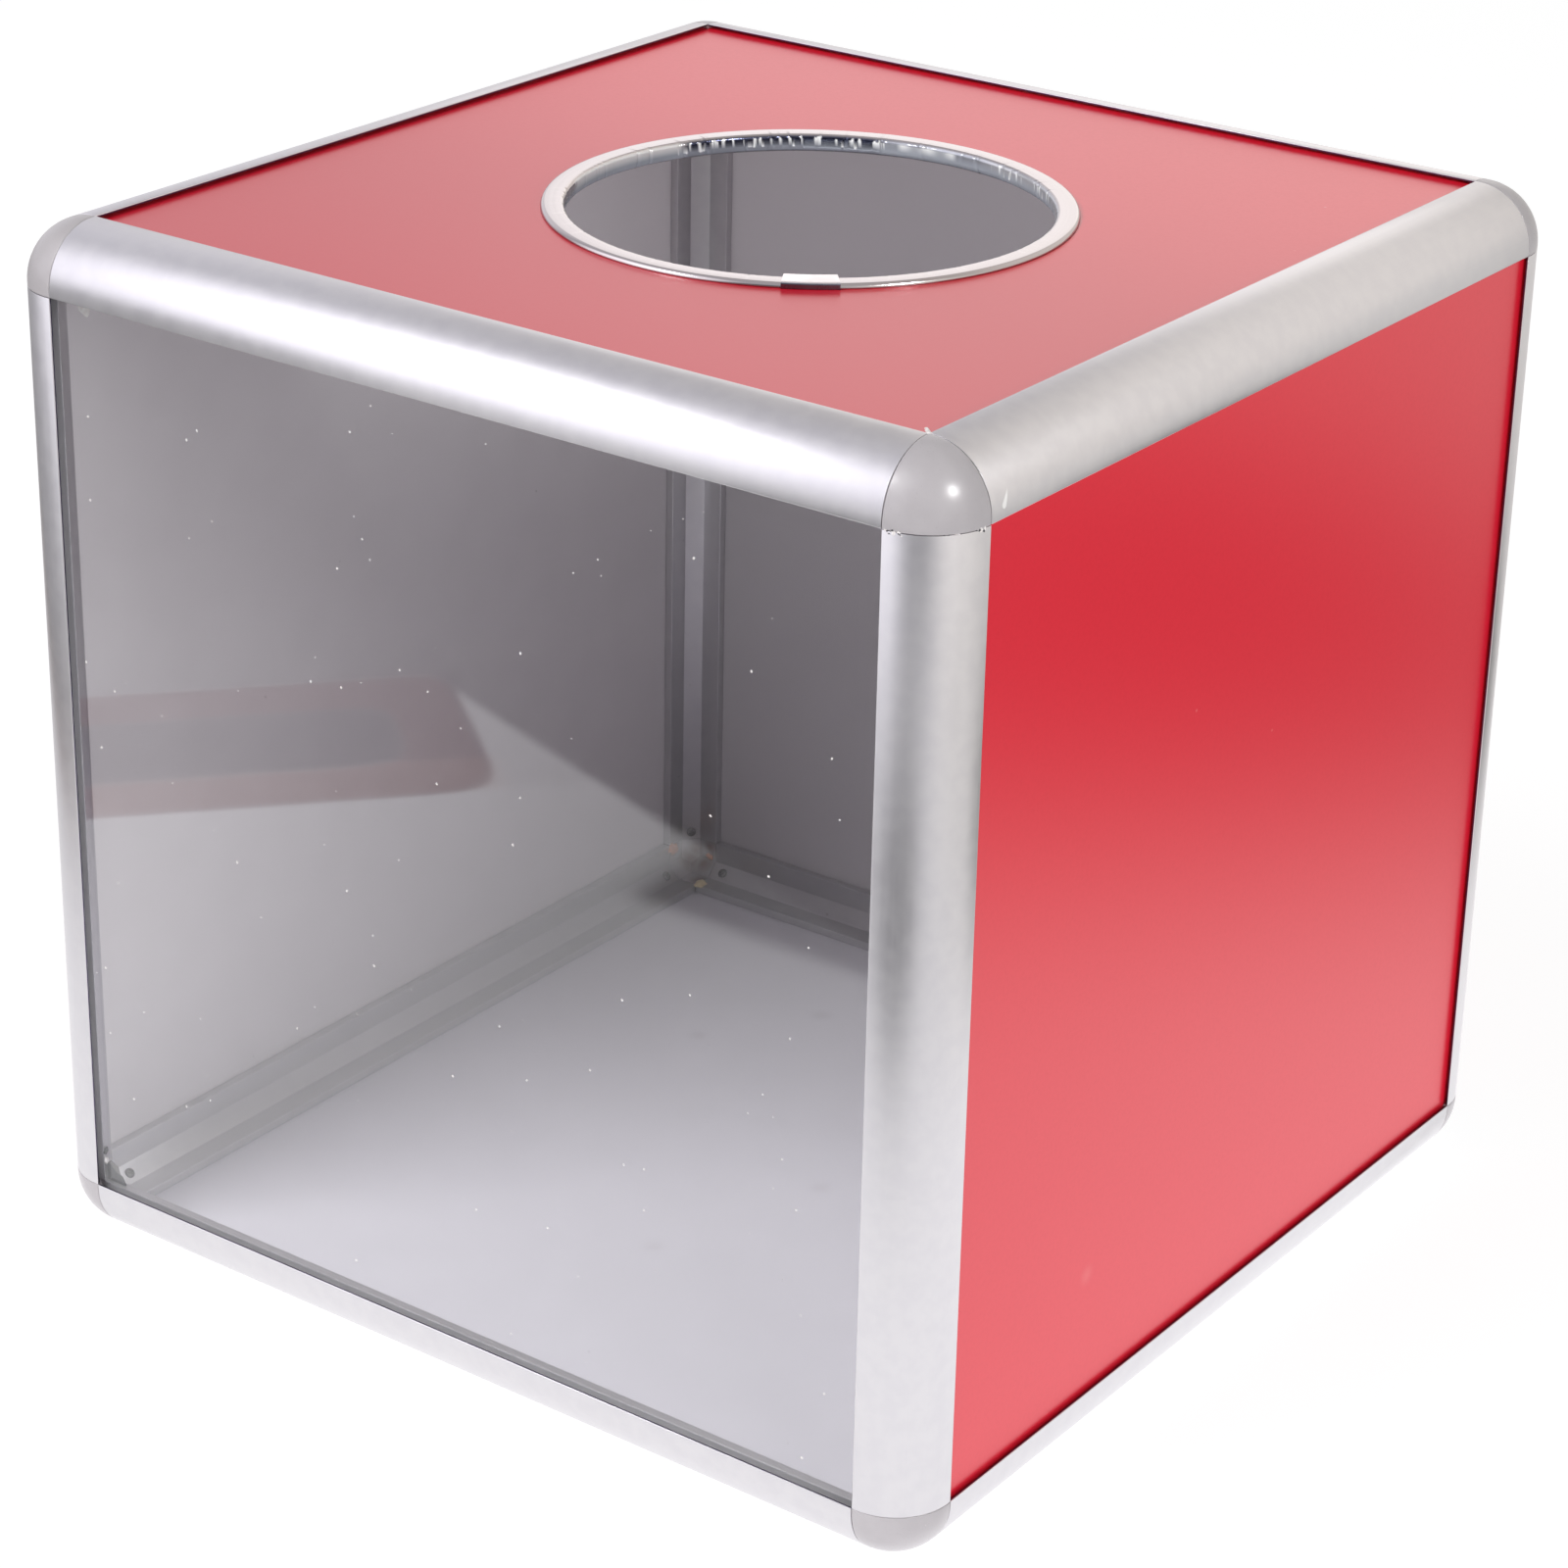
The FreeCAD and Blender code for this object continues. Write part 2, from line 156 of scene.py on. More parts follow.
def inset(outline, depth):
    """Each point of a closed outline moves inwards by depth, square to its two neighbours' chord."""
    after = np.roll(outline, -1, 0)
    chord = after - np.roll(outline, 1, 0)
    chord /= np.linalg.norm(chord, axis=1, keepdims=True)
    twice_area = np.sum(outline[:, 0] * after[:, 1] - after[:, 0] * outline[:, 1])
    inward = np.stack([-chord[:, 1], chord[:, 0]], 1) * np.sign(twice_area)
    return outline + inward * depth


def skin(rows, columns, start=0, closed_columns=True):
    """Quads between neighbours (i, j), (i, j+1), (i+1, j+1), (i+1, j) of a grid of points."""
    i = np.arange(rows - 1)[:, None]
    j = np.arange(columns if closed_columns else columns - 1)[None, :]
    here, below, right = i * columns, (i + 1) * columns, (j + 1) % columns
    return np.stack([here + j, here + right, below + right, below + j], -1).reshape(-1, 4) + start


def lids(loops, starts):
    """Triangles that close a flat end inside its first loop and outside the others."""
    flat = [[Vector((x, y, 0)) for x, y in loop] for loop in loops]
    index = np.concatenate([np.arange(len(loop)) + start for loop, start in zip(loops, starts)])
    triangles = np.array(geometry.tessellate_polygon(flat))
    every = np.concatenate(loops)
    a, b, c = (every[triangles[:, k]] for k in range(3))
    turned = (b - a)[:, 0] * (c - a)[:, 1] - (b - a)[:, 1] * (c - a)[:, 0] < 0
    triangles[turned] = triangles[turned][:, ::-1]
    return index[triangles]


def around(outline):
    """Distance along an outline from its first point to each point."""
    steps = np.linalg.norm(np.diff(outline, axis=0), axis=1)
    return np.concatenate([[0], np.cumsum(steps)])


def facing_out(points, face_arrays):
    """Turn every face over if the closed surface holds a negative volume. Also gives the volume."""
    volume = 0.0
    for array in face_arrays:
        for k in range(1, array.shape[1] - 1):
            a, b, c = points[array[:, 0]], points[array[:, k]], points[array[:, k + 1]]
            volume += np.einsum("ij,ij->", a, np.cross(b, c)) / 6
    return [array[:, ::-1] if volume < 0 else array for array in face_arrays], abs(volume)


print("a rounded square has", len(rounded_outline([(0, 0, 1), (9, 0, 1), (9, 9, 1), (0, 9, 1)])), "points")

# %% [markdown]
# ## Small tools for materials
# Blender's materials are graphs of nodes. These helpers add a node with its settings, join two
# sockets, and start a material with one Principled shader, so that each finish below reads as a
# short recipe. A socket knows the graph that it belongs to, so sums and mixes needn't name it.

# %% Node helpers
def add(tree, kind, settings=None, **inputs):
    """A shader node. Settings are its properties, inputs its sockets: numbers, colours or links."""
    node = tree.nodes.new("ShaderNode" + kind)
    for key, value in (settings or {}).items():
        setattr(node, key, value)
    for key, value in inputs.items():
        by_number = key[0] == "i" and key[1:].isdigit()
        socket = node.inputs[int(key[1:]) if by_number else key.replace("_", " ")]
        if isinstance(value, bpy.types.NodeSocket):
            tree.links.new(value, socket)
        else:
            socket.default_value = value
    return node


def tree_of(*values):
    """The graph of the first socket among some values."""
    return next(value.id_data for value in values if isinstance(value, bpy.types.NodeSocket))


def math(operation, *values):
    inputs = {f"i{k}": value for k, value in enumerate(values)}
    return add(tree_of(*values), "Math", {"operation": operation}, **inputs).outputs[0]


plus, minus, times, larger, smaller = (
    partial(math, operation) for operation in ("ADD", "SUBTRACT", "MULTIPLY", "MAXIMUM", "MINIMUM"))


def vectors(tree, operation, *values):
    inputs = {f"i{k}": value for k, value in enumerate(values)}
    return add(tree, "VectorMath", {"operation": operation}, **inputs).outputs


def remap(value, low, high, to_low=0.0, to_high=1.0, kind="SMOOTHSTEP"):
    """Carry a value from low..high to another range, held at both ends."""
    ends = {"i1": low, "i2": high, "i3": to_low, "i4": to_high}
    return add(tree_of(value), "MapRange", {"interpolation_type": kind}, i0=value, **ends).outputs[0]


def mix_colour(share, first, second, kind="MIX"):
    settings = {"data_type": "RGBA", "blend_type": kind}
    return add(tree_of(share, first, second), "Mix", settings, i0=share, i6=first, i7=second).outputs[2]


def feed(shader, name, value):
    """Join a value that varies over the surface to one of the shader's sockets."""
    shader.id_data.links.new(value, shader.inputs[name])


def new_finish(name, **principled):
    """A material with one Principled shader, whose plain numbers and colours are set on its own sockets."""
    print("finish:", name)
    finish = bpy.data.materials.new(name)
    finish.use_nodes = True
    tree = finish.node_tree
    shader = tree.nodes["Principled BSDF"]
    for key, value in principled.items():
        shader.inputs[key.replace("_", " ")].default_value = value
    return finish, tree, shader


def rgb(red, green, blue):
    return (red, green, blue, 1.0)


# %% [markdown]
# ## Effects that several finishes share
# A surface that looks real has detail at two scales. `pebble` is the fine grain of foil,
# moulded plastic and blasted metal: soft noise with small cells in it. `drawn_lines` are the faint
# lines that a die or a roll leaves along a profile. `specks` are dust and tiny nicks. Each is
# a node group that puts out only values that vary over the surface, and each finish uses them in
# its own amount.

# %% Shader node groups
VALUE, VECTOR = "NodeSocketFloat", "NodeSocketVector"


def new_group(name, outputs, **inputs):
    """A node group that puts out numbers. Inputs are numbers with a default, or None for a vector."""
    group = bpy.data.node_groups.new(name, "ShaderNodeTree")
    for label, value in inputs.items():
        kind = VECTOR if value is None else VALUE
        socket = group.interface.new_socket(label, in_out="INPUT", socket_type=kind)
        if value is not None:
            socket.default_value = value
    for label in outputs:
        group.interface.new_socket(label, in_out="OUTPUT", socket_type=VALUE)
    return group, group.nodes.new("NodeGroupInput").outputs, group.nodes.new("NodeGroupOutput").inputs


pebble, given, result = new_group("pebble", ["Height", "Cloud"], Vector=None, Size=0.001)
place, scale = given["Vector"], math("DIVIDE", 1.0, given["Size"])
soft = add(pebble, "TexNoise", Vector=place, Scale=scale, Detail=3.0, Roughness=0.6)
cells = add(pebble, "TexVoronoi", Vector=place, Scale=times(scale, 0.8))
wide = add(pebble, "TexNoise", Vector=place, Scale=times(scale, 0.08), Detail=2.0)
pebble.links.new(plus(soft.outputs[0], times(cells.outputs["Distance"], 0.5)), result["Height"])
pebble.links.new(wide.outputs[0], result["Cloud"])

drawn_lines, given, result = new_group("drawn_lines", ["Height"], Run=None, Width=0.0002)
stretch = vectors(drawn_lines, "MULTIPLY", given["Run"], (0.004, 1.0, 1.0))[0]
scale = math("DIVIDE", 1.0, given["Width"])
lines = add(drawn_lines, "TexNoise", Vector=stretch, Scale=scale, Detail=3.0, Roughness=0.7)
drawn_lines.links.new(lines.outputs[0], result["Height"])

specks, given, result = new_group("specks", ["Mask"], Vector=None, Spacing=0.01, Share=0.3)
scale = math("DIVIDE", 1.0, given["Spacing"])
dots = add(specks, "TexVoronoi", Vector=given["Vector"], Scale=scale, Randomness=1.0)
chance = add(specks, "SeparateColor", i0=dots.outputs["Color"]).outputs
size = remap(chance[1], 0.0, 1.0, 0.008, 0.045, "LINEAR")
in_dot = math("LESS_THAN", dots.outputs["Distance"], size)
kept = math("LESS_THAN", chance[0], given["Share"])
specks.links.new(times(in_dot, kept), result["Mask"])
print("groups:", [group.name for group in bpy.data.node_groups])


# %% Effects in a material
def here(tree):
    """Object coordinates, which are metres in the box's own frame because no piece is moved."""
    return add(tree, "TexCoord").outputs["Object"]


def here_xyz(tree):
    return add(tree, "SeparateXYZ", i0=here(tree)).outputs


def own(tree, name, output):
    """What a piece stores on its points under a name."""
    return add(tree, "Attribute", {"attribute_name": name}).outputs[output]


def pebbles(tree, size):
    return add(tree, "Group", {"node_tree": pebble}, Vector=here(tree), Size=size).outputs


def lines_along(tree, width):
    """Drawn lines on the UV map of a swept piece, which is metres along it and around it."""
    run = add(tree, "UVMap", {"uv_map": "run"}).outputs["UV"]
    return add(tree, "Group", {"node_tree": drawn_lines}, Run=run, Width=width).outputs["Height"]


def speckled(tree, spacing, share):
    inputs = {"Vector": here(tree), "Spacing": spacing, "Share": share}
    return add(tree, "Group", {"node_tree": specks}, **inputs).outputs["Mask"]


def clouded(grain, first, second):
    """Two tones that drift into each other."""
    return mix_colour(remap(grain["Cloud"], 0.3, 0.7), first, second)


def laid_over(tone, mask, strength, colour):
    return mix_colour(times(mask, strength), tone, colour)


def dot_at(tree, centre, radius):
    """A round mark: 1 at a place in millimetres, falling to 0 at its radius."""
    away = vectors(tree, "DISTANCE", here(tree), tuple(np.array(centre) * MM))["Value"]
    return remap(away, 0.0, radius * MM, 1.0, 0.0)


def sliver(tree, start, end, width):
    """A mark that widens from start to end: its edge lies width * (share + 0.25) from the line between
    them, where share goes from 0 at the start to 1 at the end."""
    start, end = np.array(start) * MM, np.array(end) * MM
    line = end - start
    away = vectors(tree, "SUBTRACT", here(tree), tuple(start))[0]
    share = vectors(tree, "DOT_PRODUCT", away, tuple(line / (line @ line)))["Value"]
    share = smaller(larger(share, 0.0), 1.0)
    foot = add(tree, "VectorMath", {"operation": "SCALE"}, Vector=tuple(line), Scale=share).outputs[0]
    gap = vectors(tree, "DISTANCE", away, foot)["Value"]
    return remap(minus(gap, times(plus(share, 0.25), width * MM)), 0.0, -0.0003)


def rough_skin(shader, height, distance, strength):
    """Feed a height, in units of distance, to the shader as a bump."""
    bump = add(shader.id_data, "Bump", Height=height, Distance=distance, Strength=strength)
    feed(shader, "Normal", bump.outputs[0])


# %% [markdown]
# ## The rails
# A rail is a hollow aluminium extrusion: a quarter round outside, a slot on each side for a
# board, and a chamfer towards the inside of the box. It could be a curve with a bevel
# profile, but its hollow core and its softened cut ends are easier as a numpy sweep: the
# same section, set at a few stations along a straight line. The finish is satin anodised: a
# wide soft highlight, faint lines along the run, and almost no colour.

# %% Places on the box
BOX, RAIL = 300.0, 18


def depths(tree):
    """How deep a point lies inside the box's outer planes, in metres: smallest, middle and largest depth."""
    half = BOX / 2 * MM
    shifted = vectors(tree, "SUBTRACT", here(tree), (0.0, 0.0, half))[0]
    x, y, z = add(tree, "SeparateXYZ", i0=vectors(tree, "ABSOLUTE", shifted)[0]).outputs
    outer = larger(larger(x, y), z)
    inner = smaller(smaller(x, y), z)
    middle = minus(minus(plus(plus(x, y), z), outer), inner)
    return [minus(half, value) for value in (outer, middle, inner)]


def within(value, low, high):
    """1 between two bounds, 0 outside them."""
    return times(math("GREATER_THAN", value, low), math("LESS_THAN", value, high))


# %% Satin anodised aluminium
anodised, tree, shader = new_finish(
    "anodised_rail", Base_Color=rgb(0.615, 0.60, 0.62), Metallic=1.0, Roughness=0.36)
run_lines = lines_along(tree, 0.0006)
grain = pebbles(tree, 0.00035)
drift = remap(grain["Cloud"], 0.35, 0.65, 0.0, 0.02)
feed(shader, "Roughness", plus(remap(run_lines, 0.3, 0.7, 0.33, 0.37), drift))
tone = clouded(grain, rgb(0.605, 0.59, 0.61), rgb(0.63, 0.615, 0.63))
tone = laid_over(tone, speckled(tree, 0.012, 0.25), 0.35, rgb(0.45, 0.44, 0.44))
scuff = sliver(tree, (147.9, -123.3, 290.6), (149.8, -126.8, 285.2), 0.75)
tone = laid_over(tone, scuff, 0.8, rgb(0.93, 0.93, 0.93))
# painted shade: the edges of the outer lips stand out as thin dark lines beside the boards, painted in place
# of the shadowed gap there
first_depth, second_depth, _ = depths(tree)
lip_gap_shade = times(remap(second_depth, 0.01788, 0.01794), remap(first_depth, 0.0017, 0.0016))
lip_gap_shade = times(lip_gap_shade, remap(first_depth, 0.0001, 0.0004))
feed(shader, "Base Color", mix_colour(lip_gap_shade, tone, rgb(0.09, 0.07, 0.15)))
rough_skin(shader, plus(times(run_lines, 0.5), grain["Height"]), 0.000012, 0.35)
# slot walls, the scuff and the inner faces low in the box are duller than the polished round
in_slot = times(within(first_depth, 0.00065, 0.0043), within(second_depth, 0.0129, 0.01796))
low_inside = times(remap(here_xyz(tree)[2], 0.0215, 0.019), remap(first_depth, 0.0041, 0.0044))
dull = larger(larger(times(in_slot, 0.8), times(scuff, 0.5)), times(low_inside, 0.35))
feed(shader, "Metallic", minus(1.0, dull))

# %% Section of a rail
LIP_RADIUS, SLOT_RADIUS, INNER_RADIUS = 0.22, 0.15, 0.4
CAP_RADIUS, CORE_RADIUS = 17.0, 15.8
# depths of the slot's two walls, of its end, of the inner lip's face and of the chamfer's far end
LIP, SLOT_WALL, SLOT_END, INNER, CHAMFER = 0.75, 4.2, 13, 7, 11.3
side = [(RAIL, 0, LIP_RADIUS), (RAIL, LIP, LIP_RADIUS), (SLOT_END, LIP, SLOT_RADIUS),
        (SLOT_END, SLOT_WALL, SLOT_RADIUS), (RAIL, SLOT_WALL, LIP_RADIUS), (RAIL, INNER, LIP_RADIUS),
        (CHAMFER, INNER, INNER_RADIUS)]
other_side = [(y, x, radius) for x, y, radius in side]
rail_section = rounded_outline([other_side[0], (0, 0, CAP_RADIUS)] + side + other_side[:0:-1])
core_angles = np.radians(np.linspace(199.24, 250.76, 20))
core_round = CAP_RADIUS + CORE_RADIUS * np.stack([np.cos(core_angles), np.sin(core_angles)], 1)
rail_core = np.concatenate([core_round, [(11.8, 4.803), (4.803, 11.8)]])
print("rail section:", len(rail_section), "points, core:", len(rail_core))

# %% Sweep the twelve rails
END_SOFTENING, END_GAP = 0.12, 0.1
SIDE_NAMES = ({-1: "left", 1: "right"}, {-1: "front", 1: "back"}, {-1: "bottom", 1: "top"})


def from_depths(depths, sides):
    """Depths inside the outer planes on the given sides, turned into places in the box's frame."""
    sides = np.array(sides, float)
    return np.full(3, BOX / 2) * sides + (0, 0, BOX / 2) - depths * sides


def build_rail(run, sides):
    """The rail's point (i, j) is station i along the run and point j of the section. A station is a place
    along the run, and how far the section is drawn in there to soften its cut edges."""
    length = BOX - 2 * RAIL - 2 * END_GAP
    soft = END_SOFTENING
    stations = [(0, soft), (soft * 0.3, soft * 0.3), (soft, 0), (length / 2, 0),
                (length - soft, 0), (length - soft * 0.3, soft * 0.3), (length, soft)]
    across = [axis for axis in range(3) if axis != run]
    points, faces, run_map = [], [], []
    for loop, hollow in ((rail_section, False), (rail_core, True)):
        start = sum(len(block) for block in points)
        for place, softening in stations:
            block = np.zeros((len(loop), 3))
            block[:, across] = inset(loop, -softening if hollow else softening)
            block[:, run] = RAIL + END_GAP + place
            points.append(block)
            run_map.append(np.stack([np.full(len(loop), place), around(loop)], 1))
        quads = skin(len(stations), len(loop), start)
        faces.append(quads[:, ::-1] if hollow else quads)
    for station in (0, len(stations) - 1):
        starts = [station * len(rail_section), len(stations) * len(rail_section) + station * len(rail_core)]
        ring = lids([inset(rail_section, soft), inset(rail_core, -soft)], starts)
        faces.append(ring if station else ring[:, ::-1])
    all_sides = [side if axis != run else -1 for axis, side in enumerate(sides)]
    return from_depths(np.concatenate(points), all_sides), faces, np.concatenate(run_map)


rails = []
for run in range(3):
    others = [axis for axis in range(3) if axis != run]
    for first in (-1, 1):
        for second in (-1, 1):
            sides = [0, 0, 0]
            sides[others[0]], sides[others[1]] = first, second
            if run == 2:
                name = f"post_{SIDE_NAMES[1][second]}_{SIDE_NAMES[0][first]}"
            else:
                name = f"rail_{SIDE_NAMES[2][second]}_{SIDE_NAMES[1 - run][first]}"
            points, face_arrays, run_map = build_rail(run, sides)
            face_arrays, volume = facing_out(points, face_arrays)
            rail = new_piece(name + "_extrusion", points, face_arrays, anodised, run_map)
            belongs(rail, "anodised_rail", name)
            rails.append((name, run, np.array(sides)))
print(len(rails), "rails of", round(volume), "mm3 each")

# %% [markdown]
# ## The corner connectors
# Each corner is one moulding: a ball-shaped cap outside, three flats where the boards meet, and
# three legs inside the rails. A cube whose points are pushed out to 17 mm from an inner cube
# gives the ball, its three rounded edges and the flats in one formula. The hollow inside and the
# slots for the boards' corners are simple convex lumps, so they're cut with Boolean modifiers, and
# the legs are joined in the same way. One corner is made, and the other seven are mirror
# images with their faces turned back out.

# %% Grey moulded plastic
# brown marks in the far bottom corner: place and radius in millimetres
BROWN_MARKS = (((-141.1, 140.6, 10.7), 6.5), ((-139.7, 142.0, 13.9), 4.5), ((-136.1, 141.7, 10.0), 5),
          ((-134.3, 143.0, 15.5), 4.5), ((-132.5, 135.0, 7.0), 5.5), ((-143.0, 133.8, 16.3), 4.5))
plastic, tree, shader = new_finish("corner_plastic", Roughness=0.22, Specular_IOR_Level=0.5)
grain = pebbles(tree, 0.0004)
tone = clouded(grain, rgb(0.465, 0.437, 0.455), rgb(0.485, 0.457, 0.475))
tone = laid_over(tone, speckled(tree, 0.004, 0.2), 0.5, rgb(0.75, 0.73, 0.72))
brown_mark = 0.0
for centre, radius in BROWN_MARKS:
    brown_mark = larger(dot_at(tree, centre, radius), brown_mark)
feed(shader, "Base Color", laid_over(tone, brown_mark, 0.8, rgb(0.20, 0.11, 0.085)))
feed(shader, "Roughness", remap(grain["Height"], 0.4, 0.95, 0.27, 0.31))
rough_skin(shader, grain["Height"], 0.00001, 0.3)

# %% One cap as a pushed-out cube
RIM = 0.3


def cap_patch(axis, grid):
    """The side of a cube of depths at axis = 0. A point x goes to c + 17 * (x - c) / |x - c|, where
    c = max(x, 17). Within RIM of the ends at 18 it also draws in along a quarter circle, for a soft rim."""
    first, second = np.meshgrid(grid, grid, indexing="ij")
    cube = np.zeros(first.shape + (3,))
    cube[..., (axis + 1) % 3], cube[..., (axis + 2) % 3] = first, second
    centre = np.maximum(cube, CAP_RADIUS)
    spoke = cube - centre
    spoke *= CAP_RADIUS / np.linalg.norm(spoke, axis=-1, keepdims=True)
    into_rim = np.clip((cube - (RAIL - RIM)) / RIM, 0, 1)
    drawn_in = (RIM * (1 - np.sqrt(1 - into_rim ** 2))).max(-1, keepdims=True)
    return centre + spoke * (1 - drawn_in / CAP_RADIUS)


turns = np.radians(np.linspace(45, 0, 17))
rim_steps = RAIL - RIM + RIM * np.sin(np.radians([0, 25, 50, 72, 90]))
grid = np.concatenate([CAP_RADIUS * (1 - np.tan(turns)), rim_steps])
patches = [cap_patch(axis, grid).reshape(-1, 3) for axis in range(3)]
quads = [skin(len(grid), len(grid), k * len(grid) ** 2, closed_columns=False) for k in range(3)]
shell = bmesh.new()
shell_verts = [shell.verts.new(point) for point in np.concatenate(patches).tolist()]
for quad in np.concatenate(quads).tolist():
    shell.faces.new([shell_verts[k] for k in quad])
bmesh.ops.remove_doubles(shell, verts=shell.verts, dist=1e-4)
far = shell.verts.new((RAIL,) * 3)
for axis in range(3):
    u, v = (axis + 1) % 3, (axis + 2) % 3
    boundary = [vert for vert in shell.verts if vert is not far and vert.is_boundary]
    rim = [vert for vert in boundary if abs(vert.co[axis] - RAIL) < 1e-4]
    rim.sort(key=lambda vert: np.arctan2(vert.co[v] - RAIL, vert.co[u] - RAIL - 1e-3) % (2 * np.pi))
    shell.faces.new(rim + [far])
bmesh.ops.recalc_face_normals(shell, faces=shell.faces)
print("cap:", len(shell.verts), "points, closed:", all(edge.is_manifold for edge in shell.edges))

# %% Cut the inside and the board slots, join the legs
# the cutting tools reach beyond the moulding, and a leg's tip tapers over its last 2 mm
BEYOND, SLOT_FLOOR = 19.0, 1.5
LEG_START, LEG_TAPER, LEG_END = 17.4, 41, 43


def as_object(name, solid):
    """A bmesh turned into an object in the scene."""
    mesh = bpy.data.meshes.new(name)
    solid.to_mesh(mesh)
    solid.free()
    return shown(name, mesh)


def lump(name, points):
    """A convex solid: the hull of its points."""
    hull = bmesh.new()
    verts = [hull.verts.new(point) for point in np.asarray(points, float).tolist()]
    bmesh.ops.convex_hull(hull, input=verts)
    bmesh.ops.recalc_face_normals(hull, faces=hull.faces)
    return as_object(name, hull)


def turned(points, turn):
    """Carry x to y, y to z and z to x, that many times."""
    return np.roll(np.asarray(points, float), turn, axis=1)


def prism(outline, low, high):
    """The outline at two heights."""
    return np.concatenate([np.insert(outline, 2, height, axis=1) for height in (low, high)])


cavity = [(9.15, 9.15, 9.15), (BEYOND, BEYOND, BEYOND)]
mouth = [(CHAMFER, INNER, CHAMFER), (BEYOND, INNER, CHAMFER), (BEYOND, CHAMFER, INNER),
         (BEYOND, INNER, BEYOND)]
for turn in range(3):
    cavity += turned(mouth, turn).tolist()
board_corner = np.array([
    (BEYOND, SLOT_END), (BEYOND, BEYOND), (SLOT_END, BEYOND), (SLOT_END, 17.18), (17.18, SLOT_END)])
leg_outline = np.array([(2.293, 11.65), (4.741, 11.65), (11.65, 4.741), (11.65, 2.293), (5.934, 5.934)])
leg_middle = leg_outline.mean(0)
leg_tip = leg_middle + (leg_outline - leg_middle) * 0.9
leg = np.concatenate([prism(leg_outline, LEG_START, LEG_TAPER), prism(leg_tip, LEG_END - 0.1, LEG_END)])

block = as_object("cap_block", shell)
tools = [(lump("cavity", cavity), "DIFFERENCE")]
slot = prism(board_corner, SLOT_FLOOR, SLOT_WALL)
for turn in range(3):
    tools.append((lump(f"slot_{turn}", turned(slot, turn)), "DIFFERENCE"))
    tools.append((lump(f"leg_{turn}", turned(leg, turn)), "UNION"))
for tool, operation in tools:
    step = block.modifiers.new(tool.name, "BOOLEAN")
    step.object, step.operation, step.solver = tool, operation, "EXACT"
carved = bpy.data.meshes.new_from_object(block.evaluated_get(bpy.context.evaluated_depsgraph_get()))
for thing in [block] + [tool for tool, _ in tools]:
    bpy.data.objects.remove(thing)
cleaner = bmesh.new()
cleaner.from_mesh(carved)
bmesh.ops.remove_doubles(cleaner, verts=cleaner.verts, dist=1e-3)
bmesh.ops.triangulate(cleaner, faces=[face for face in cleaner.faces if len(face.verts) > 4])
print("corner:", len(cleaner.faces), "faces, closed:", all(edge.is_manifold for edge in cleaner.edges))
corner_points = np.array([vert.co[:] for vert in cleaner.verts])
corner_faces = []
for count in (3, 4):
    rows = [[vert.index for vert in face.verts] for face in cleaner.faces if len(face.verts) == count]
    corner_faces.append(np.array(rows).reshape(-1, count))
cleaner.free()

# %% Mirror it to the eight corners
for high in (-1, 1):
    for deep in (-1, 1):
        for aside in (-1, 1):
            name = f"corner_{SIDE_NAMES[2][high]}_{SIDE_NAMES[1][deep]}_{SIDE_NAMES[0][aside]}"
            points = from_depths(corner_points, (aside, deep, high))
            face_arrays, volume = facing_out(points, corner_faces)
            corner = new_piece(name + "_moulding", points, face_arrays, plastic, crease=30)
            belongs(corner, "corner_plastic", name)
print("8 corners of", round(volume), "mm3 each")

# %% [markdown]
# ## The boards
# The boards are flat, and the CAD nodes have just the right shape, so they stay and only get
# finishes. A board is red foil outside and pale grey inside. Which side a point is on follows
# from its depth: the outer faces lie 1.6 mm inside the box's planes. The red foil has a fine
# leather grain with a soft gloss that looks whitish at a low angle. That is what a
# raised specular level and a middling roughness give.

# %% Red foil outside, grey inside
BOARD_FACE, BASE_FACE = 148.4, 4.1
# pale marks on the right board: place and radius in millimetres, and the smaller ones are stronger
MARKS = (((BOARD_FACE, -30.7, 201.4), 0.7), ((BOARD_FACE, 9.5, 182.2), 0.6), ((BOARD_FACE, -69, 54), 4.0))
board, tree, shader = new_finish("red_board", Specular_IOR_Level=0.62, Roughness=0.3)
grain = pebbles(tree, 0.0011)
_, y, z = here_xyz(tree)
outside = math("LESS_THAN", depths(tree)[0], 0.0018)
red = mix_colour(remap(grain["Height"], 0.4, 0.95), rgb(0.77, 0.010, 0.031), rgb(0.79, 0.012, 0.034))
red = laid_over(red, speckled(tree, 0.011, 0.3), 0.35, rgb(0.85, 0.30, 0.30))
# painted shade: the red of the top board is painted a little deeper towards the front, where less light falls
front_shade = times(remap(z, 0.2982, 0.2983), remap(y, 0.11, -0.06))
red = mix_colour(front_shade, red, rgb(0.625, 0.009, 0.027))
for centre, radius in MARKS:
    red = laid_over(red, dot_at(tree, centre, radius), 0.35 / radius ** 0.7, rgb(0.9, 0.35, 0.35))
# painted shade and light inside: the back board is painted darker, as if in shade, and the upper back of
# every board lighter, as if lit from above
on_back = remap(y, 0.1455, 0.1457)
grey = clouded(grain, rgb(0.745, 0.705, 0.725), rgb(0.765, 0.725, 0.745))
grey = mix_colour(on_back, grey, rgb(0.645, 0.61, 0.63))
painted_upper_light = mix_colour(on_back, rgb(0.89, 0.85, 0.865), rgb(0.83, 0.79, 0.81))
grey = mix_colour(remap(plus(z, times(y, 0.8)), 0.26, 0.35), grey, painted_upper_light)
feed(shader, "Base Color", mix_colour(outside, grey, red))
gloss = remap(grain["Height"], 0.4, 0.95, 0.29, 0.28)
feed(shader, "Roughness", plus(gloss, times(minus(1.0, outside), 0.06)))
rough_skin(shader, grain["Height"], 0.000004, 0.2)
for name in ("back_panel", "left_panel", "right_panel", "top_panel"):
    nodes[name].data.materials[0] = board

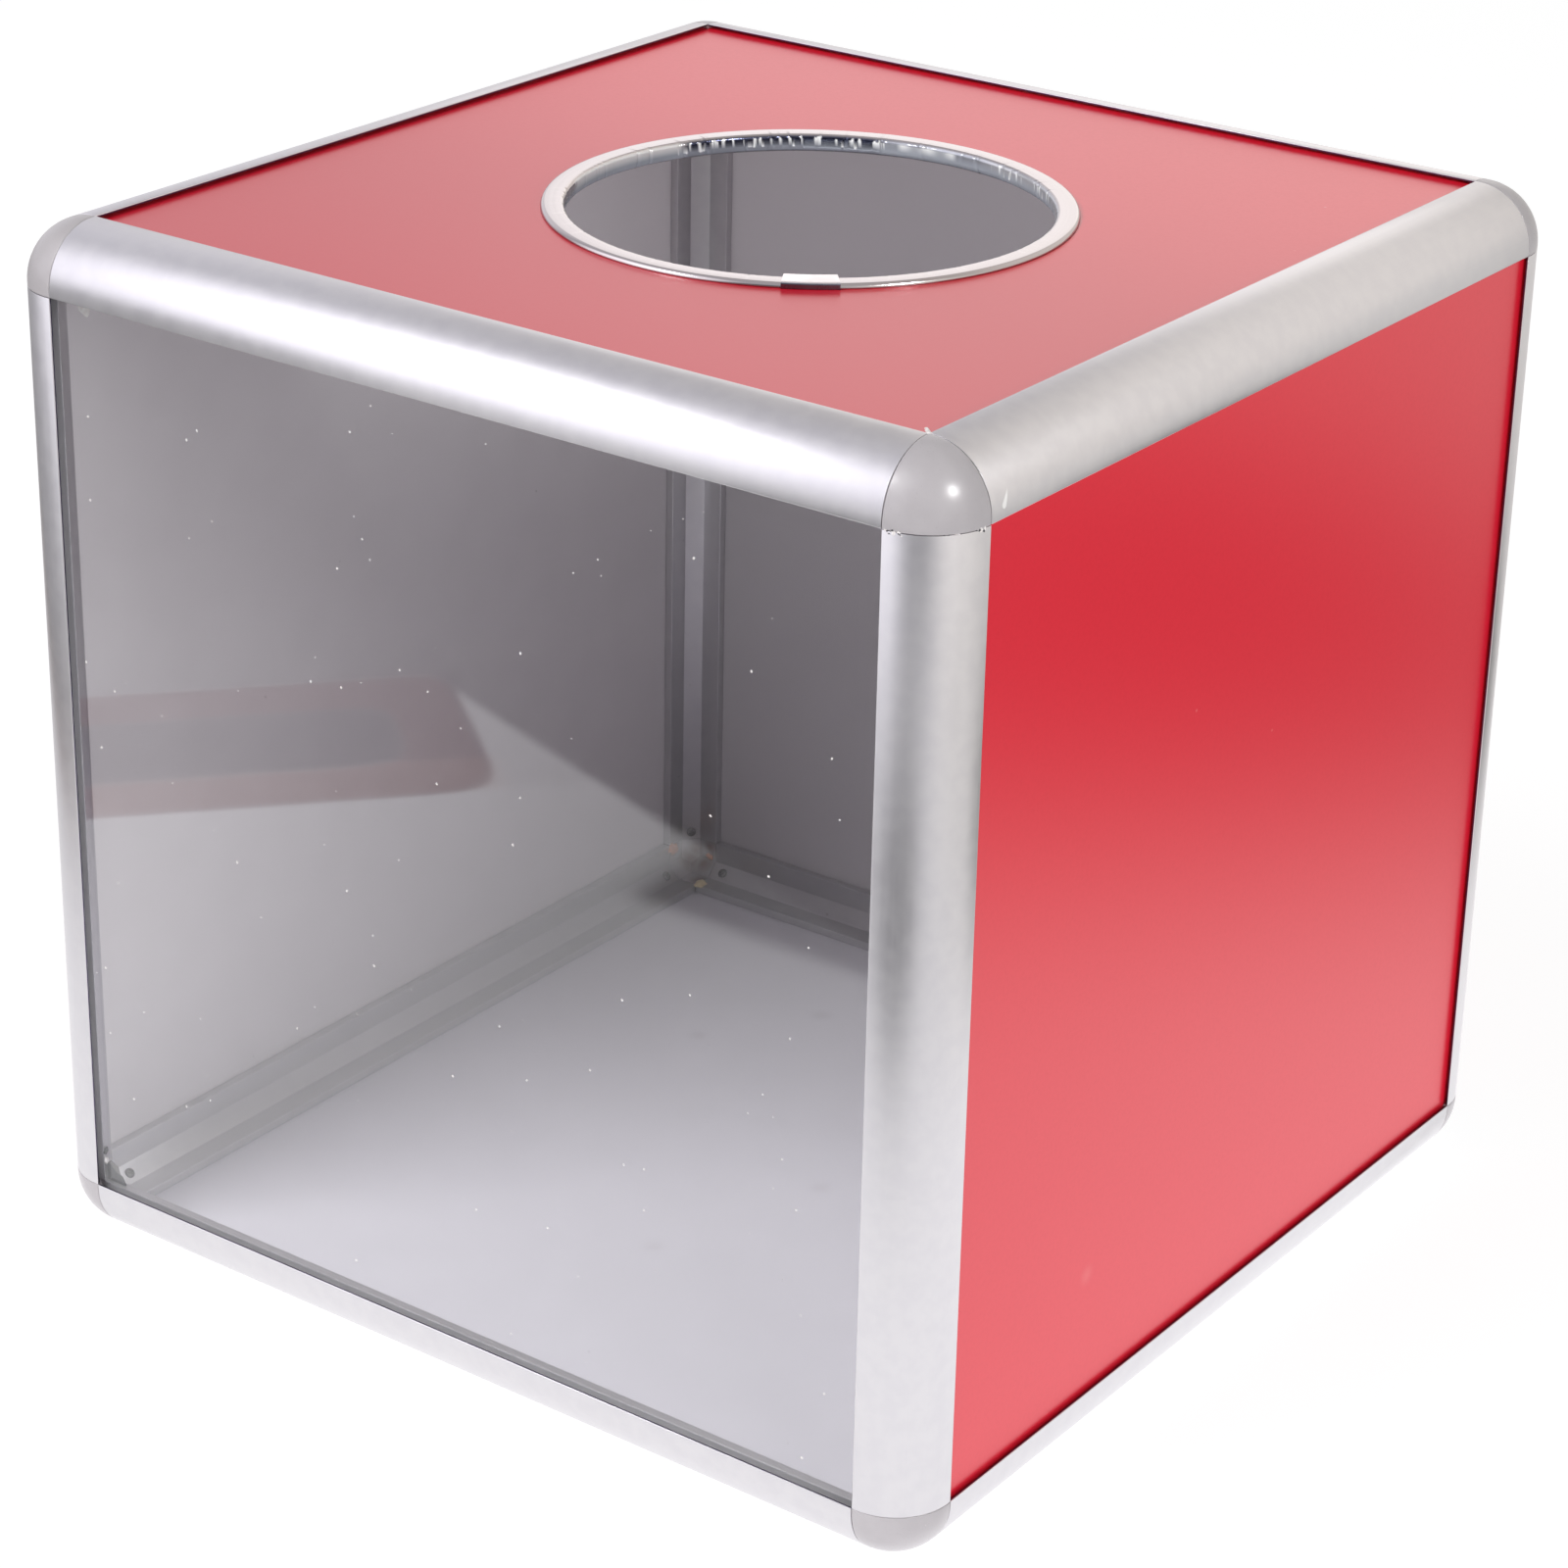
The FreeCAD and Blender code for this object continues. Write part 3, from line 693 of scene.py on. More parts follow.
# %% Pale base board
pale, tree, shader = new_finish("pale_board", Roughness=0.4, Specular_IOR_Level=0.5)
grain = pebbles(tree, 0.0012)
tone = clouded(grain, rgb(0.745, 0.72, 0.78), rgb(0.76, 0.735, 0.795))
for x, y in ((-46.5, 85.7), (-68.9, 51.0), (-0.6, -59.3), (17.2, -2.5)):
    tone = laid_over(tone, dot_at(tree, (x, y, BASE_FACE), 5.0), 0.3, rgb(0.55, 0.51, 0.55))
feed(shader, "Base Color", tone)
feed(shader, "Roughness", remap(grain["Cloud"], 0.3, 0.7, 0.38, 0.44))
rough_skin(shader, grain["Height"], 0.00003, 0.3)
nodes["base_panel"].data.materials[0] = pale

# %% [markdown]
# ## The clear window
# The front board is clear acrylic. A path tracer's glass blocks the straight lines between a
# lamp and what lies behind it, so the inside of the box would go black. The usual remedy is a
# Light Path node: rays that look for lamps, or that carry soft light, pass straight through, while
# the camera sees true glass with its reflections.

# %% Acrylic
CLEAR = rgb(0.97, 0.98, 0.985)
acrylic, tree, shader = new_finish(
    "clear_window", Base_Color=CLEAR, Roughness=0.0, IOR=1.49, Transmission_Weight=1.0)
feed(shader, "Base Color", mix_colour(speckled(tree, 0.009, 0.22), CLEAR, rgb(0.7, 0.7, 0.7)))
path = add(tree, "LightPath").outputs
clear = add(tree, "BsdfTransparent", Color=rgb(0.96, 0.96, 0.965)).outputs[0]
passes = larger(path["Is Shadow Ray"], path["Is Diffuse Ray"])
through = add(tree, "MixShader", i0=passes, i1=shader.outputs[0], i2=clear)
feed(tree.nodes["Material Output"], "Surface", through.outputs[0])
nodes["front_window"].data.materials[0] = acrylic

# %% [markdown]
# ## The edge trim of the hand hole
# A bright channel strip is bent round the edge of the hole. Its crown is domed, and because a
# straight strip is too long for the inner curve, its inner wall has gathered into fine crimps.
# The ring is one grid: a rounded section turned about the hole's axis. The crimps are a sum of
# narrow bumps at seeded random bearings, added only on the inner wall. A short folded clip hides
# the joint.

# %% Bright trim and satin clip
chrome, tree, shader = new_finish(
    "trim_chrome", Base_Color=rgb(0.86, 0.86, 0.87), Metallic=1.0, Roughness=0.12)
run_lines = lines_along(tree, 0.0005)
feed(shader, "Roughness", remap(run_lines, 0.3, 0.7, 0.10, 0.18))
# the ring's colour and matt share come from its points and carry its painted reflections and highlights
feed(shader, "Base Color", own(tree, "tint", "Color"))
feed(shader, "Metallic", minus(1.0, own(tree, "shade", "Fac")))
rough_skin(shader, run_lines, 0.00002, 0.3)

satin, tree, shader = new_finish("clip_steel", Base_Color=rgb(0.72, 0.72, 0.73), Metallic=1.0, Roughness=0.3)
grain = pebbles(tree, 0.0005)
feed(shader, "Roughness", remap(grain["Cloud"], 0.3, 0.7, 0.25, 0.36))
# painted shade: the outer faces of the folded flanges are dark
folded = mix_colour(own(tree, "shade", "Fac"), rgb(0.17, 0.18, 0.22), rgb(0.80, 0.755, 0.755))
feed(shader, "Base Color", folded)
rough_skin(shader, grain["Height"], 0.00002, 0.3)

# %% Sections of trim and clip
# the hole's axis, the bearing of the joint in degrees, and the trim's middle height and radius
HOLE = np.array([3.4, -0.8])
JOINT, TRIM_MIDDLE, TRIM_RADIUS = 306.0, 297.15, 69
trim_section = rounded_outline([
    (65.5, 294.55, 2.0), (72.0, 294.55, 0.7), (72.0, 295.85, 0.3), (66.7, 295.85, 0.2), (66.7, 298.45, 0.2),
    (72.0, 298.45, 0.3), (72.0, 299.75, 1.2), (65.5, 299.75, 1.3)], 52, small_share=0.3)
clip_section = rounded_outline([
    (64.95, 294.0, 0.7), (72.55, 294.0, 0.7), (72.55, 295.85, 0.15), (72.05, 295.85, 0.15),
    (72.05, 294.5, 0.3), (65.45, 294.5, 0.3), (65.45, 299.8, 0.3), (72.05, 299.8, 0.3),
    (72.05, 298.45, 0.15), (72.55, 298.45, 0.15), (72.55, 300.3, 0.7), (64.95, 300.3, 0.7)], 64)
print("trim section:", len(trim_section), "points, clip section:", len(clip_section))


def turn_section(section, bearings, swell=0):
    """Point (i, j) is section point j at bearing i round the hole's axis, moved out by swell (i, j)."""
    radius = section[None, :, 0] + swell
    angle = np.radians(bearings)[:, None]
    x = HOLE[0] + radius * np.cos(angle)
    y = HOLE[1] + radius * np.sin(angle)
    z = np.broadcast_to(section[None, :, 1], x.shape)
    points = np.stack([x, y, z], -1).reshape(-1, 3)
    last = (len(bearings) - 1) * len(section)
    faces = [skin(len(bearings), len(section)), lids([section], [0]), lids([section], [last])[:, ::-1]]
    along_ring = np.broadcast_to(angle * TRIM_RADIUS, x.shape)
    run_map = np.stack([along_ring, np.broadcast_to(around(section)[None, :], x.shape)], -1).reshape(-1, 2)
    return points, facing_out(points, faces)[0], run_map


# %% Crimps on the inner wall
CRIMPS, CLOSE_CRIMPS, STATIONS, HALF_GAP = 230, 40, 1400, 0.27
dice = np.random.default_rng(7)
crimp_at = np.append(dice.uniform(0, 360, CRIMPS - CLOSE_CRIMPS), dice.uniform(108, 160, CLOSE_CRIMPS))
# each crimp's width, depth, slant, middle height and reach of the painted glint on its fold
ranges = ((0.25, 0.5), (-0.28, 0.3), (-0.3, 0.3), (-0.3, 1.5), (0.4, 1.0))
crimps = zip(np.sort(crimp_at), *[dice.uniform(low, high, CRIMPS) for low, high in ranges])
bearings = np.linspace(JOINT + HALF_GAP, JOINT + (360 - HALF_GAP), STATIONS)
radius, height = trim_section[:, 0], trim_section[:, 1] - TRIM_MIDDLE
# full strength out to a radius of 66 mm, and none past the inner wall's thickness
on_wall = np.clip((68.2 - radius) / 2.2, 0, 1) ** 1.5 * (radius < 66.69)
swell, fold_glint = np.zeros((2, len(bearings), len(trim_section)))
for at, width, depth, slant, middle, reach in crimps:
    off = (bearings[:, None] - at - slant * height[None, :] + 180) % 360 - 180
    fold = np.exp(-(off / width) ** 2)
    swell += depth * fold
    fold_glint = np.maximum(fold_glint, fold * np.exp(-((height - middle) / reach) ** 2)[None, :])
swell = np.clip(swell, -0.02, 0.45) * on_wall[None, :]
fold_glint = np.clip((fold_glint - 0.3) / 0.3, 0, 1)


# %% Colour round the ring
def between(value, first, last, soft):
    """1 from first to last, falling to 0 over the soft width outside them."""
    return np.clip((value - first) / soft + 1, 0, 1) * np.clip((last - value) / soft + 1, 0, 1)


# a pale crown, and painted reflections and highlights: a thin reflected line on the near side, a navy far
# wall in place of the dark it mirrors, painted glints on its crimps and a bright painted streak, a grey-blue
# band low on the wall, and grey and pale ends
turn = (bearings[:, None] - 360 * (bearings[:, None] > 360)) + 0 * height[None, :]
level, out = height[None, :] + 0 * turn, radius[None, :] + 0 * turn
wall = between(out, 0, 66.0, 0.4) * between(level, -9, 2.0, 0.5)
grey_side, navy_side, pale_side = (
    between(turn, first, last, 3) for first, last in ((25, 107), (107, 159), (160, 200)))
low_band = between(level, -9, -0.6, 0.3)
glint_streak = between(turn, 89, 103, 1.5) * np.exp(-((level - 0.9 + 0.2 * np.sin(turn * 0.9)) / 0.45) ** 2)
painted_fold_glints = fold_glint * np.maximum(navy_side, between(turn, 30, 74, 3)) * between(level, -1.0, 3, 0.4)
reflected_near_line = between(turn, 200, 345, 20) * np.exp(-((out - 69.3) / 0.55) ** 2) * (level > 2)
tint = np.broadcast_to((0.47, 0.43, 0.43), (*swell.shape, 3))
for share, colour in (
        (reflected_near_line, (0.20, 0.22, 0.27)), (wall * navy_side, (0.05, 0.055, 0.09)),
        (wall * grey_side, (0.33, 0.34, 0.38)), (wall * between(turn, 25, 74, 8), (0.52, 0.52, 0.55)),
        (wall * pale_side, (0.90, 0.87, 0.87)), (wall * low_band, (0.34, 0.36, 0.41)),
        (wall * glint_streak, (1, 1, 1)), (wall * painted_fold_glints, (1, 1, 1))):
    tint = tint + np.clip(share, 0, 1)[..., None] * (np.array(colour) - tint)
tint = np.concatenate([tint, np.ones((*swell.shape, 1))], -1)
# the painted highlights and the grey, pale and low tones are made partly matt, so that the lamps light them
painted_lit_share_and_glue_tone = wall * np.clip(0.6 * grey_side + 0.8 * pale_side + 0.6 * low_band + glint_streak + painted_fold_glints, 0, 1)
points, face_arrays, run_map = turn_section(trim_section, bearings, swell)
trim = new_piece("hole_trim_ring", points, face_arrays, chrome, run_map, crease=50, shade=painted_lit_share_and_glue_tone, tint=tint)
belongs(trim, "trim_chrome", "hole_trim")
print("trim:", len(points), "points, deepest crimp", round(float(swell.max()), 2), "mm")

# %% Clip over the joint
# 15 mm long at a radius of 72 mm, with painted shade: dark on the outer faces of its folded flanges
clip_reach = np.degrees(7.5 / 72)
clip_bearings = np.linspace(JOINT - clip_reach, JOINT + clip_reach, 25)
points, face_arrays, run_map = turn_section(clip_section, clip_bearings)
outermost = np.clip((clip_section[:, 0] - 72.2) / 0.2, 0, 1)
below_top = np.clip((300.2 - clip_section[:, 1]) / 0.2, 0, 1)
clip_shade = np.broadcast_to(1 - outermost * below_top, (len(clip_bearings), len(clip_section)))
clip = new_piece("trim_clip_sheet", points, face_arrays, satin, run_map, shade=clip_shade)
belongs(clip, "clip_steel", "trim_joiner_clip")
print("clip:", len(points), "points")

# %% [markdown]
# ## The screws
# One small pan-head screw near each end of every rail holds the leg of the connector. Their heads sit
# on the inner chamfers. A head is a dome on a grid of rings and spokes, with a cross pressed
# into it: the depth of the cross is a function of the place on the grid.

# %% Screw heads
screw_finish, tree, shader = new_finish(
    "screw_steel", Base_Color=rgb(0.25, 0.24, 0.24), Metallic=1.0, Roughness=0.35)
grain = pebbles(tree, 0.0004)
feed(shader, "Roughness", remap(grain["Cloud"], 0.3, 0.7, 0.3, 0.45))
rough_skin(shader, grain["Height"], 0.00001, 0.3)

HEAD_RADIUS, HEAD_HEIGHT, CROSS_HALF, CROSS_REACH, CROSS_DEPTH = 1.55, 0.8, 0.22, 0.9, 0.4
rings = HEAD_RADIUS * np.array([0.12, 0.25, 0.38, 0.5, 0.62, 0.75, 0.88, 0.97, 1.0, 1.0])
lift = HEAD_HEIGHT * np.array([1.0, 0.99, 0.97, 0.93, 0.87, 0.77, 0.6, 0.42, 0.3, -0.05])
spokes = np.radians(np.arange(0, 360, 10))
head_x, head_y = rings[:, None] * np.cos(spokes), rings[:, None] * np.sin(spokes)
arm = np.minimum(np.abs(head_x), np.abs(head_y)) < CROSS_HALF
inside_cross = arm & (np.maximum(np.abs(head_x), np.abs(head_y)) < CROSS_REACH)
head_z = lift[:, None] - CROSS_DEPTH * inside_cross
head = np.stack([head_x, head_y, head_z], -1).reshape(-1, 3)
head = np.concatenate([head, [(0, 0, HEAD_HEIGHT - CROSS_DEPTH)], [(0, 0, -0.05)]])


def dome_faces(ring_count, spoke_count):
    """Quads between the rings, and fans to the top point and the bottom point, which come last."""
    last = ring_count * spoke_count
    step = np.arange(spoke_count)
    ahead = (step + 1) % spoke_count
    top = np.stack([np.full(spoke_count, last), step, ahead], 1)
    low = np.stack([np.full(spoke_count, last + 1), last - spoke_count + ahead, last - spoke_count + step], 1)
    return [skin(ring_count, spoke_count)[:, ::-1], np.concatenate([top, low])]


head_faces, volume = facing_out(head, dome_faces(len(rings), len(spokes)))
print("screw head:", round(volume, 1), "mm3")

# %% Set two screws in every rail
# depth of a screw along its rail, for rails along x, y and z, and depth of the chamfer's middle
FROM_END, ON_CHAMFER = (22.6, 22.6, 20.6), 9.15
for name, run, sides in rails:
    along, outward = np.eye(3)[run], -sides / np.sqrt(2)
    turn = np.stack([along, np.cross(outward, along), outward])
    blocks, lists = [], [[], []]
    for end in (FROM_END[run], BOX - FROM_END[run]):
        depth = np.full(3, ON_CHAMFER)
        depth[run] = end
        start = sum(len(block) for block in blocks)
        blocks.append(from_depths(depth, np.where(along, -1, sides)) + head @ turn)
        placed, _ = facing_out(blocks[-1] - blocks[-1].mean(0), head_faces)
        for k in range(2):
            lists[k].append(placed[k] + start)
    face_arrays = [np.concatenate(part) for part in lists]
    screws = new_piece(name + "_screws", np.concatenate(blocks), face_arrays, screw_finish, crease=35)
    belongs(screws, "clip_steel")
print("24 screws in", len(rails), "pieces")

# %% [markdown]
# ## Dabs of glue and burrs
# Three corners show old glue that holds the boards, and the nearest corner has small burrs where the
# saw cut the post; the white burrs along the joint are painted highlights that stand in for glints
# on the metal. Each is a small lumpy dome: the rings of a screw head again, with a radius that
# wanders round the edge. Its own colour is stored on its points, so that one finish serves them all.

# %% Lumpy domes
glue, tree, shader = new_finish("old_glue", Roughness=0.35, Specular_IOR_Level=0.5)
grain = pebbles(tree, 0.0008)
own_tint = own(tree, "tint", "Color")
painted_lit_share_and_glue_tone = mix_colour(1.0, own_tint, rgb(0.86, 0.82, 0.80), "MULTIPLY")
feed(shader, "Base Color", mix_colour(remap(grain["Height"], 0.4, 0.95), own_tint, painted_lit_share_and_glue_tone))
rough_skin(shader, grain["Height"], 0.00005, 0.5)

DAB_RINGS = np.array([0.3, 0.6, 0.85, 1.0, 1.0])
DAB_LIFT = np.array([0.95, 0.75, 0.4, 0.05, -0.15])
dice = np.random.default_rng(11)


def dab(centre, facing, radius, height, spoke_count):
    """A dome on a surface: its rings lie at radius * DAB_RINGS * (1 + wobble of the spoke), raised by
    height * DAB_LIFT, and turned so that its top faces a direction."""
    turn = np.radians(np.arange(spoke_count) * 360 / spoke_count)
    wobble = 1 + 0.18 * np.sin(2 * turn + dice.uniform(0, 6)) + 0.12 * np.sin(5 * turn + dice.uniform(0, 6))
    flat = radius * DAB_RINGS[:, None] * wobble
    raised = np.broadcast_to(height * DAB_LIFT[:, None], flat.shape)
    grid = np.stack([flat * np.cos(turn), flat * np.sin(turn), raised], -1).reshape(-1, 3)
    local = np.concatenate([grid, [(0, 0, height), (0, 0, -0.15 * height)]])
    up = np.array(facing, float) / np.linalg.norm(facing)
    side = np.cross(up, (0.31, 0.73, 0.61))
    side /= np.linalg.norm(side)
    return np.array(centre, float) + local @ np.stack([side, np.cross(up, side), up])


def dab_group(name, slot, rows, spoke_count):
    """Many dabs in one piece, kept inside the box's planes. Rows: centre, facing, radius, height, colour."""
    blocks = [dab(*row[:4], spoke_count) for row in rows]
    starts = np.arange(len(blocks)) * len(blocks[0])
    each = dome_faces(len(DAB_RINGS), spoke_count)
    faces = [np.concatenate([array + start for start in starts]) for array in each]
    points = np.concatenate(blocks)
    points[:, :2] = points[:, :2].clip(0.01 - BOX / 2, BOX / 2 - 0.01)
    faces, _ = facing_out(points, faces)
    tint = np.repeat([row[4] + (1.0,) for row in rows], len(blocks[0]), axis=0)
    belongs(new_piece(name, points, faces, glue, tint=tint), slot)


SALMON, STRAW, INK = (0.75, 0.34, 0.19), (0.85, 0.72, 0.42), (0.06, 0.06, 0.07)
HORN, CHALK = (0.20, 0.185, 0.19), (0.97, 0.95, 0.95)
dab_group("glue_back_corner", "corner_plastic", [
    ((-143.0, 133.8, 16.3), (1, 0, 0), 2.3, 1.3, SALMON),
    ((-130.9, 133.3, 7.0), (0, 0, 1), 2.2, 1.3, STRAW),
    ((-134.6, 143.0, 12.5), (0, -1, 0), 1.3, 0.6, SALMON)], 20)
dab_group("glue_front_corners", "corner_plastic", [
    ((-132.0, -144.3, 15.0), (0, 1, 0), 8.6, 1.0, INK),
    ((-132.3, -144.2, 14.7), (0, 1, 0), 7.9, 1.6, HORN),
    ((-131.8, -145.0, 24.5), (1, 0, 0), 1.0, 0.6, CHALK),
    ((-131.8, -145.0, 27.5), (1, 0, 0), 1.0, 0.4, INK),
    ((-123.5, -145.0, 280.6), (0, 1, 0), 2.3, 1.2, CHALK),
    ((-128.5, -144.6, 281.8), (0, 0, -1), 1.6, 1.0, HORN)], 20)

# %% Burrs at the nearest corner, dust on the window
EDGE, BURR_FOOT = 132, 17.93
burrs = []
# painted highlight: the white burrs stand in for glints on the sharp metal, and the dark ones are dark flecks
# in the joint
for first, last, count in ((272, 287, 16), (317, 329, 9), (343, 357, 12)):
    for bearing in np.radians(dice.uniform(first, last, count)):
        out = np.array([np.cos(bearing), np.sin(bearing), 0.0])
        top = min(18.3, RAIL / np.abs(out).max() - 0.004)
        centre = np.array([EDGE, -EDGE, 0]) + BURR_FOOT * out + (0, 0, 282.0 + dice.uniform(-0.7, 0.3))
        width = dice.uniform(0.3, 0.6)
        burrs.append((centre, out, width, top - BURR_FOOT, CHALK if dice.uniform() < 0.65 else INK))
for offset, width in ((0.1, 0.75), (0.8, 0.7), (1.5, 0.6), (2.1, 0.45)):
    burrs.append(((EDGE - offset, offset - EDGE, 299.98), (0, 0, 1), width, 0.3, CHALK))
dab_group("saw_burrs", "anodised_rail", burrs, 8)
scatter = [dice.uniform(low, high, 110) for low, high in ((-130, 130), (20, 280), (0.15, 0.4))]
dust = [((x, -BOARD_FACE, z), (0, -1, 0), radius, 0.03, CHALK) for x, z, radius in zip(*scatter)]
dab_group("window_dust", "corner_plastic", dust, 6)
print(len(burrs), "burrs,", len(dust), "specks of dust")

# %% [markdown]
# ## Floor, surroundings and light
# The photograph has a plain white background and soft light from all round. The floor and the
# world are white to the camera by their own colour, through Is Camera Ray, and not by strong
# lamps, which would wash out the red. Metal and acrylic show what stands around them, so the
# floor and world also have a look for reflected rays only: a bright soft source at the front left,
# a white ground round the box, and darker tones farther out in front of it.

# %% Tools for the floor
def mirrored_ray(path):
    """1 for rays that come off metal, plastic or acrylic, and 0 for those that went through."""
    return times(path["Is Glossy Ray"], path["Is Reflection Ray"])


def direct_ray(path):
    """1 for rays from the camera, also through the window, and 0 once they have come off a surface."""
    straight = larger(path["Is Camera Ray"], path["Is Transmission Ray"])
    bounced = plus(path["Glossy Depth"], path["Diffuse Depth"])
    return times(straight, math("LESS_THAN", bounced, 0.5))


floor_finish, tree, shader = new_finish("floor")
floor_x, floor_y, _ = here_xyz(tree)


def past(point, slope):
    """How many metres a place lies past a line on the floor, less than 0 on the box's side."""
    unit = np.array(slope, float) / np.linalg.norm(slope)
    return minus(plus(times(floor_x, unit[0]), times(floor_y, unit[1])), float(unit @ point))


def beyond(point, slope, softness=0.004):
    """0 on the box's side of a line on the floor, 1 past it, with a soft edge."""
    return remap(past(point, slope), -softness, softness)


def blend(share, first, second):
    return add(tree_of(share), "Mix", {"data_type": "FLOAT"}, i0=share, i2=first, i3=second).outputs[0]


def near(centre, inner, outer, strength):
    """A round patch on the floor: full strength within inner metres of its centre, none beyond outer."""
    away = vectors(tree, "DISTANCE", here(tree), (*centre, 0.0))["Value"]
    return remap(away, inner, outer, strength, 0.0)


# %% Tones that satin metal sees on the floor
# lines on the floor: a place on each, in metres, and the direction that leads past it
SIDE = (-0.748, -0.664)
GROUND_SIDE, DARK_START = ((-0.297, -0.396), SIDE), ((-0.377, -0.467), SIDE)
BAND_END = ((-0.247, -0.462), (0.63, -0.78))
ground_end = beyond((-0.171, -0.468), (0.32, -0.95))
far_front = beyond((0.0, -0.47), (0.0, -1.0), 0.02)
ground_side = beyond(*GROUND_SIDE)
band_end = beyond(*BAND_END, 0.006)
band_side = beyond((-0.318, -0.415), SIDE, 0.003)
dark_start = beyond(*DARK_START)
off_ground = larger(blend(remap(floor_x, -0.10, 0.05), ground_end, far_front), ground_side)
ground_tone = minus(plus(near((0.05, 0), 0.22, 0.62, 0.4), 0.92), near((0.50, 0.42), 0.1, 0.37, 0.9))
left_band = times(ground_side, minus(1.0, band_end))
far_tone = minus(1.06, near((0, 0), 0.7, 1.1, 0.52))
off_tone = blend(left_band, far_tone, blend(dark_start, blend(band_side, 0.5, 0.05), 0.42))
seen = blend(off_ground, ground_tone, off_tone)
seen = larger(minus(seen, near((0.20, -0.82), 0.26, 0.44, 0.95)), 0.05)
seen = minus(seen, near((0.62, 0.70), 0.12, 0.26, 0.2))
warm_floor = mix_colour(remap(plus(floor_x, floor_y), 0.2, 0.8), rgb(1, 0.995, 1.012), rgb(1.01, 0.99, 0.96))
seen_tint = mix_colour(times(left_band, minus(1.0, band_side)), warm_floor, rgb(1.25, 0.85, 0.68))

# %% What the polished window mirrors sharply
# the white ground, and past it a dark shape with a warm band at its end
dark_shape = math("SMOOTH_MAX", times(past(*GROUND_SIDE), -1.0), past(*BAND_END), 0.035)
dark_shape = math("SMOOTH_MAX", dark_shape, past(*DARK_START), 0.02)
on_shape = remap(dark_shape, 0.003, -0.003)
on_band = times(on_shape, remap(dark_shape, -0.03, -0.024))
beyond_ground = times(beyond((-0.338, -0.52), (-0.80, -0.60)), 0.07)
beyond_ground = plus(near((-0.43, -0.44), 0.02, 0.16, 0.45), beyond_ground)
beyond_ground = plus(beyond_ground, remap(past((0, 0), (-1, 1)), -0.04, -0.005, 0.0, 0.4))
short_end = times(beyond((0, -0.419), (0, -1), 0.008), remap(floor_x, -0.165, -0.145))
mirror_tone = blend(larger(ground_end, short_end), 2.25, beyond_ground)
mirror_tone = blend(larger(dark_start, on_shape), mirror_tone, blend(on_shape, beyond_ground, 0.0))
mirror_tint = mix_colour(on_band, rgb(1, 1, 1.02), rgb(0.42, 0.1, 0.08))

# %% Floor
FLOOR_HALF = 6000.0
path = add(tree, "LightPath").outputs
sharp = times(mirrored_ray(path), path["Is Singular Ray"])
colour, strength = mix_colour(sharp, seen_tint, mirror_tint), blend(sharp, seen, larger(mirror_tone, on_band))
reflected = add(tree, "Emission", Color=colour, Strength=strength)
faint = add(tree, "BsdfDiffuse", Color=rgb(0.16, 0.16, 0.16))
white = add(tree, "Emission", Color=rgb(1, 1, 1), Strength=0.93)
to_camera = add(tree, "AddShader", i0=faint.outputs[0], i1=white.outputs[0])
surface = add(tree, "MixShader", i0=direct_ray(path), i1=reflected.outputs[0], i2=to_camera.outputs[0])
feed(tree.nodes["Material Output"], "Surface", surface.outputs[0])
tree.nodes.remove(shader)
square = FLOOR_HALF * np.array([(-1, -1, 0), (1, -1, 0), (1, 1, 0), (-1, 1, 0)])
floor = new_piece("floor", square - (0, 0, 0.05), [np.array([(0, 1, 2, 3)])], floor_finish)
print("floor:", 2 * FLOOR_HALF * MM, "m wide, with", len(tree.nodes), "nodes in its finish")

# %% World
# soft round sources: direction, degrees from it with full strength, degrees where it ends, strength
GLOWS = (
    ((-0.60, -0.72, 0.35), 18, 46, 1.3), ((-0.45, 0.847, 0.284), 5, 17, 0.88),
    ((-0.57, -0.70, 0.45), 3, 12, 1.1), ((-0.87, 0.50, 0.20), 5, 30, 0.38),
    ((-0.61, -0.35, 0.71), 8, 25, 0.3), ((0.35, -0.93, 0.0), 12, 42, -0.5),
    ((0.30, 0.90, 0.30), 15, 50, 0.37), ((0.95, -0.10, 0.15), 10, 50, 0.3))
AMBIENT, PLAIN_GLOSS = 0.13, 0.7
world = bpy.data.worlds.new("studio")
bpy.context.scene.world = world
world.use_nodes = True
tree = world.node_tree
tree.nodes.clear()
path = add(tree, "LightPath").outputs
toward = add(tree, "TexCoord").outputs["Generated"]
around_box = 0.0
for direction, inner, outer, strength in GLOWS:
    facing = vectors(tree, "DOT_PRODUCT", toward, tuple(Vector(direction).normalized()))["Value"]
    low, high = (float(np.cos(np.radians(angle))) for angle in (outer, inner))
    around_box = plus(around_box, remap(facing, low, high, 0.0, strength))
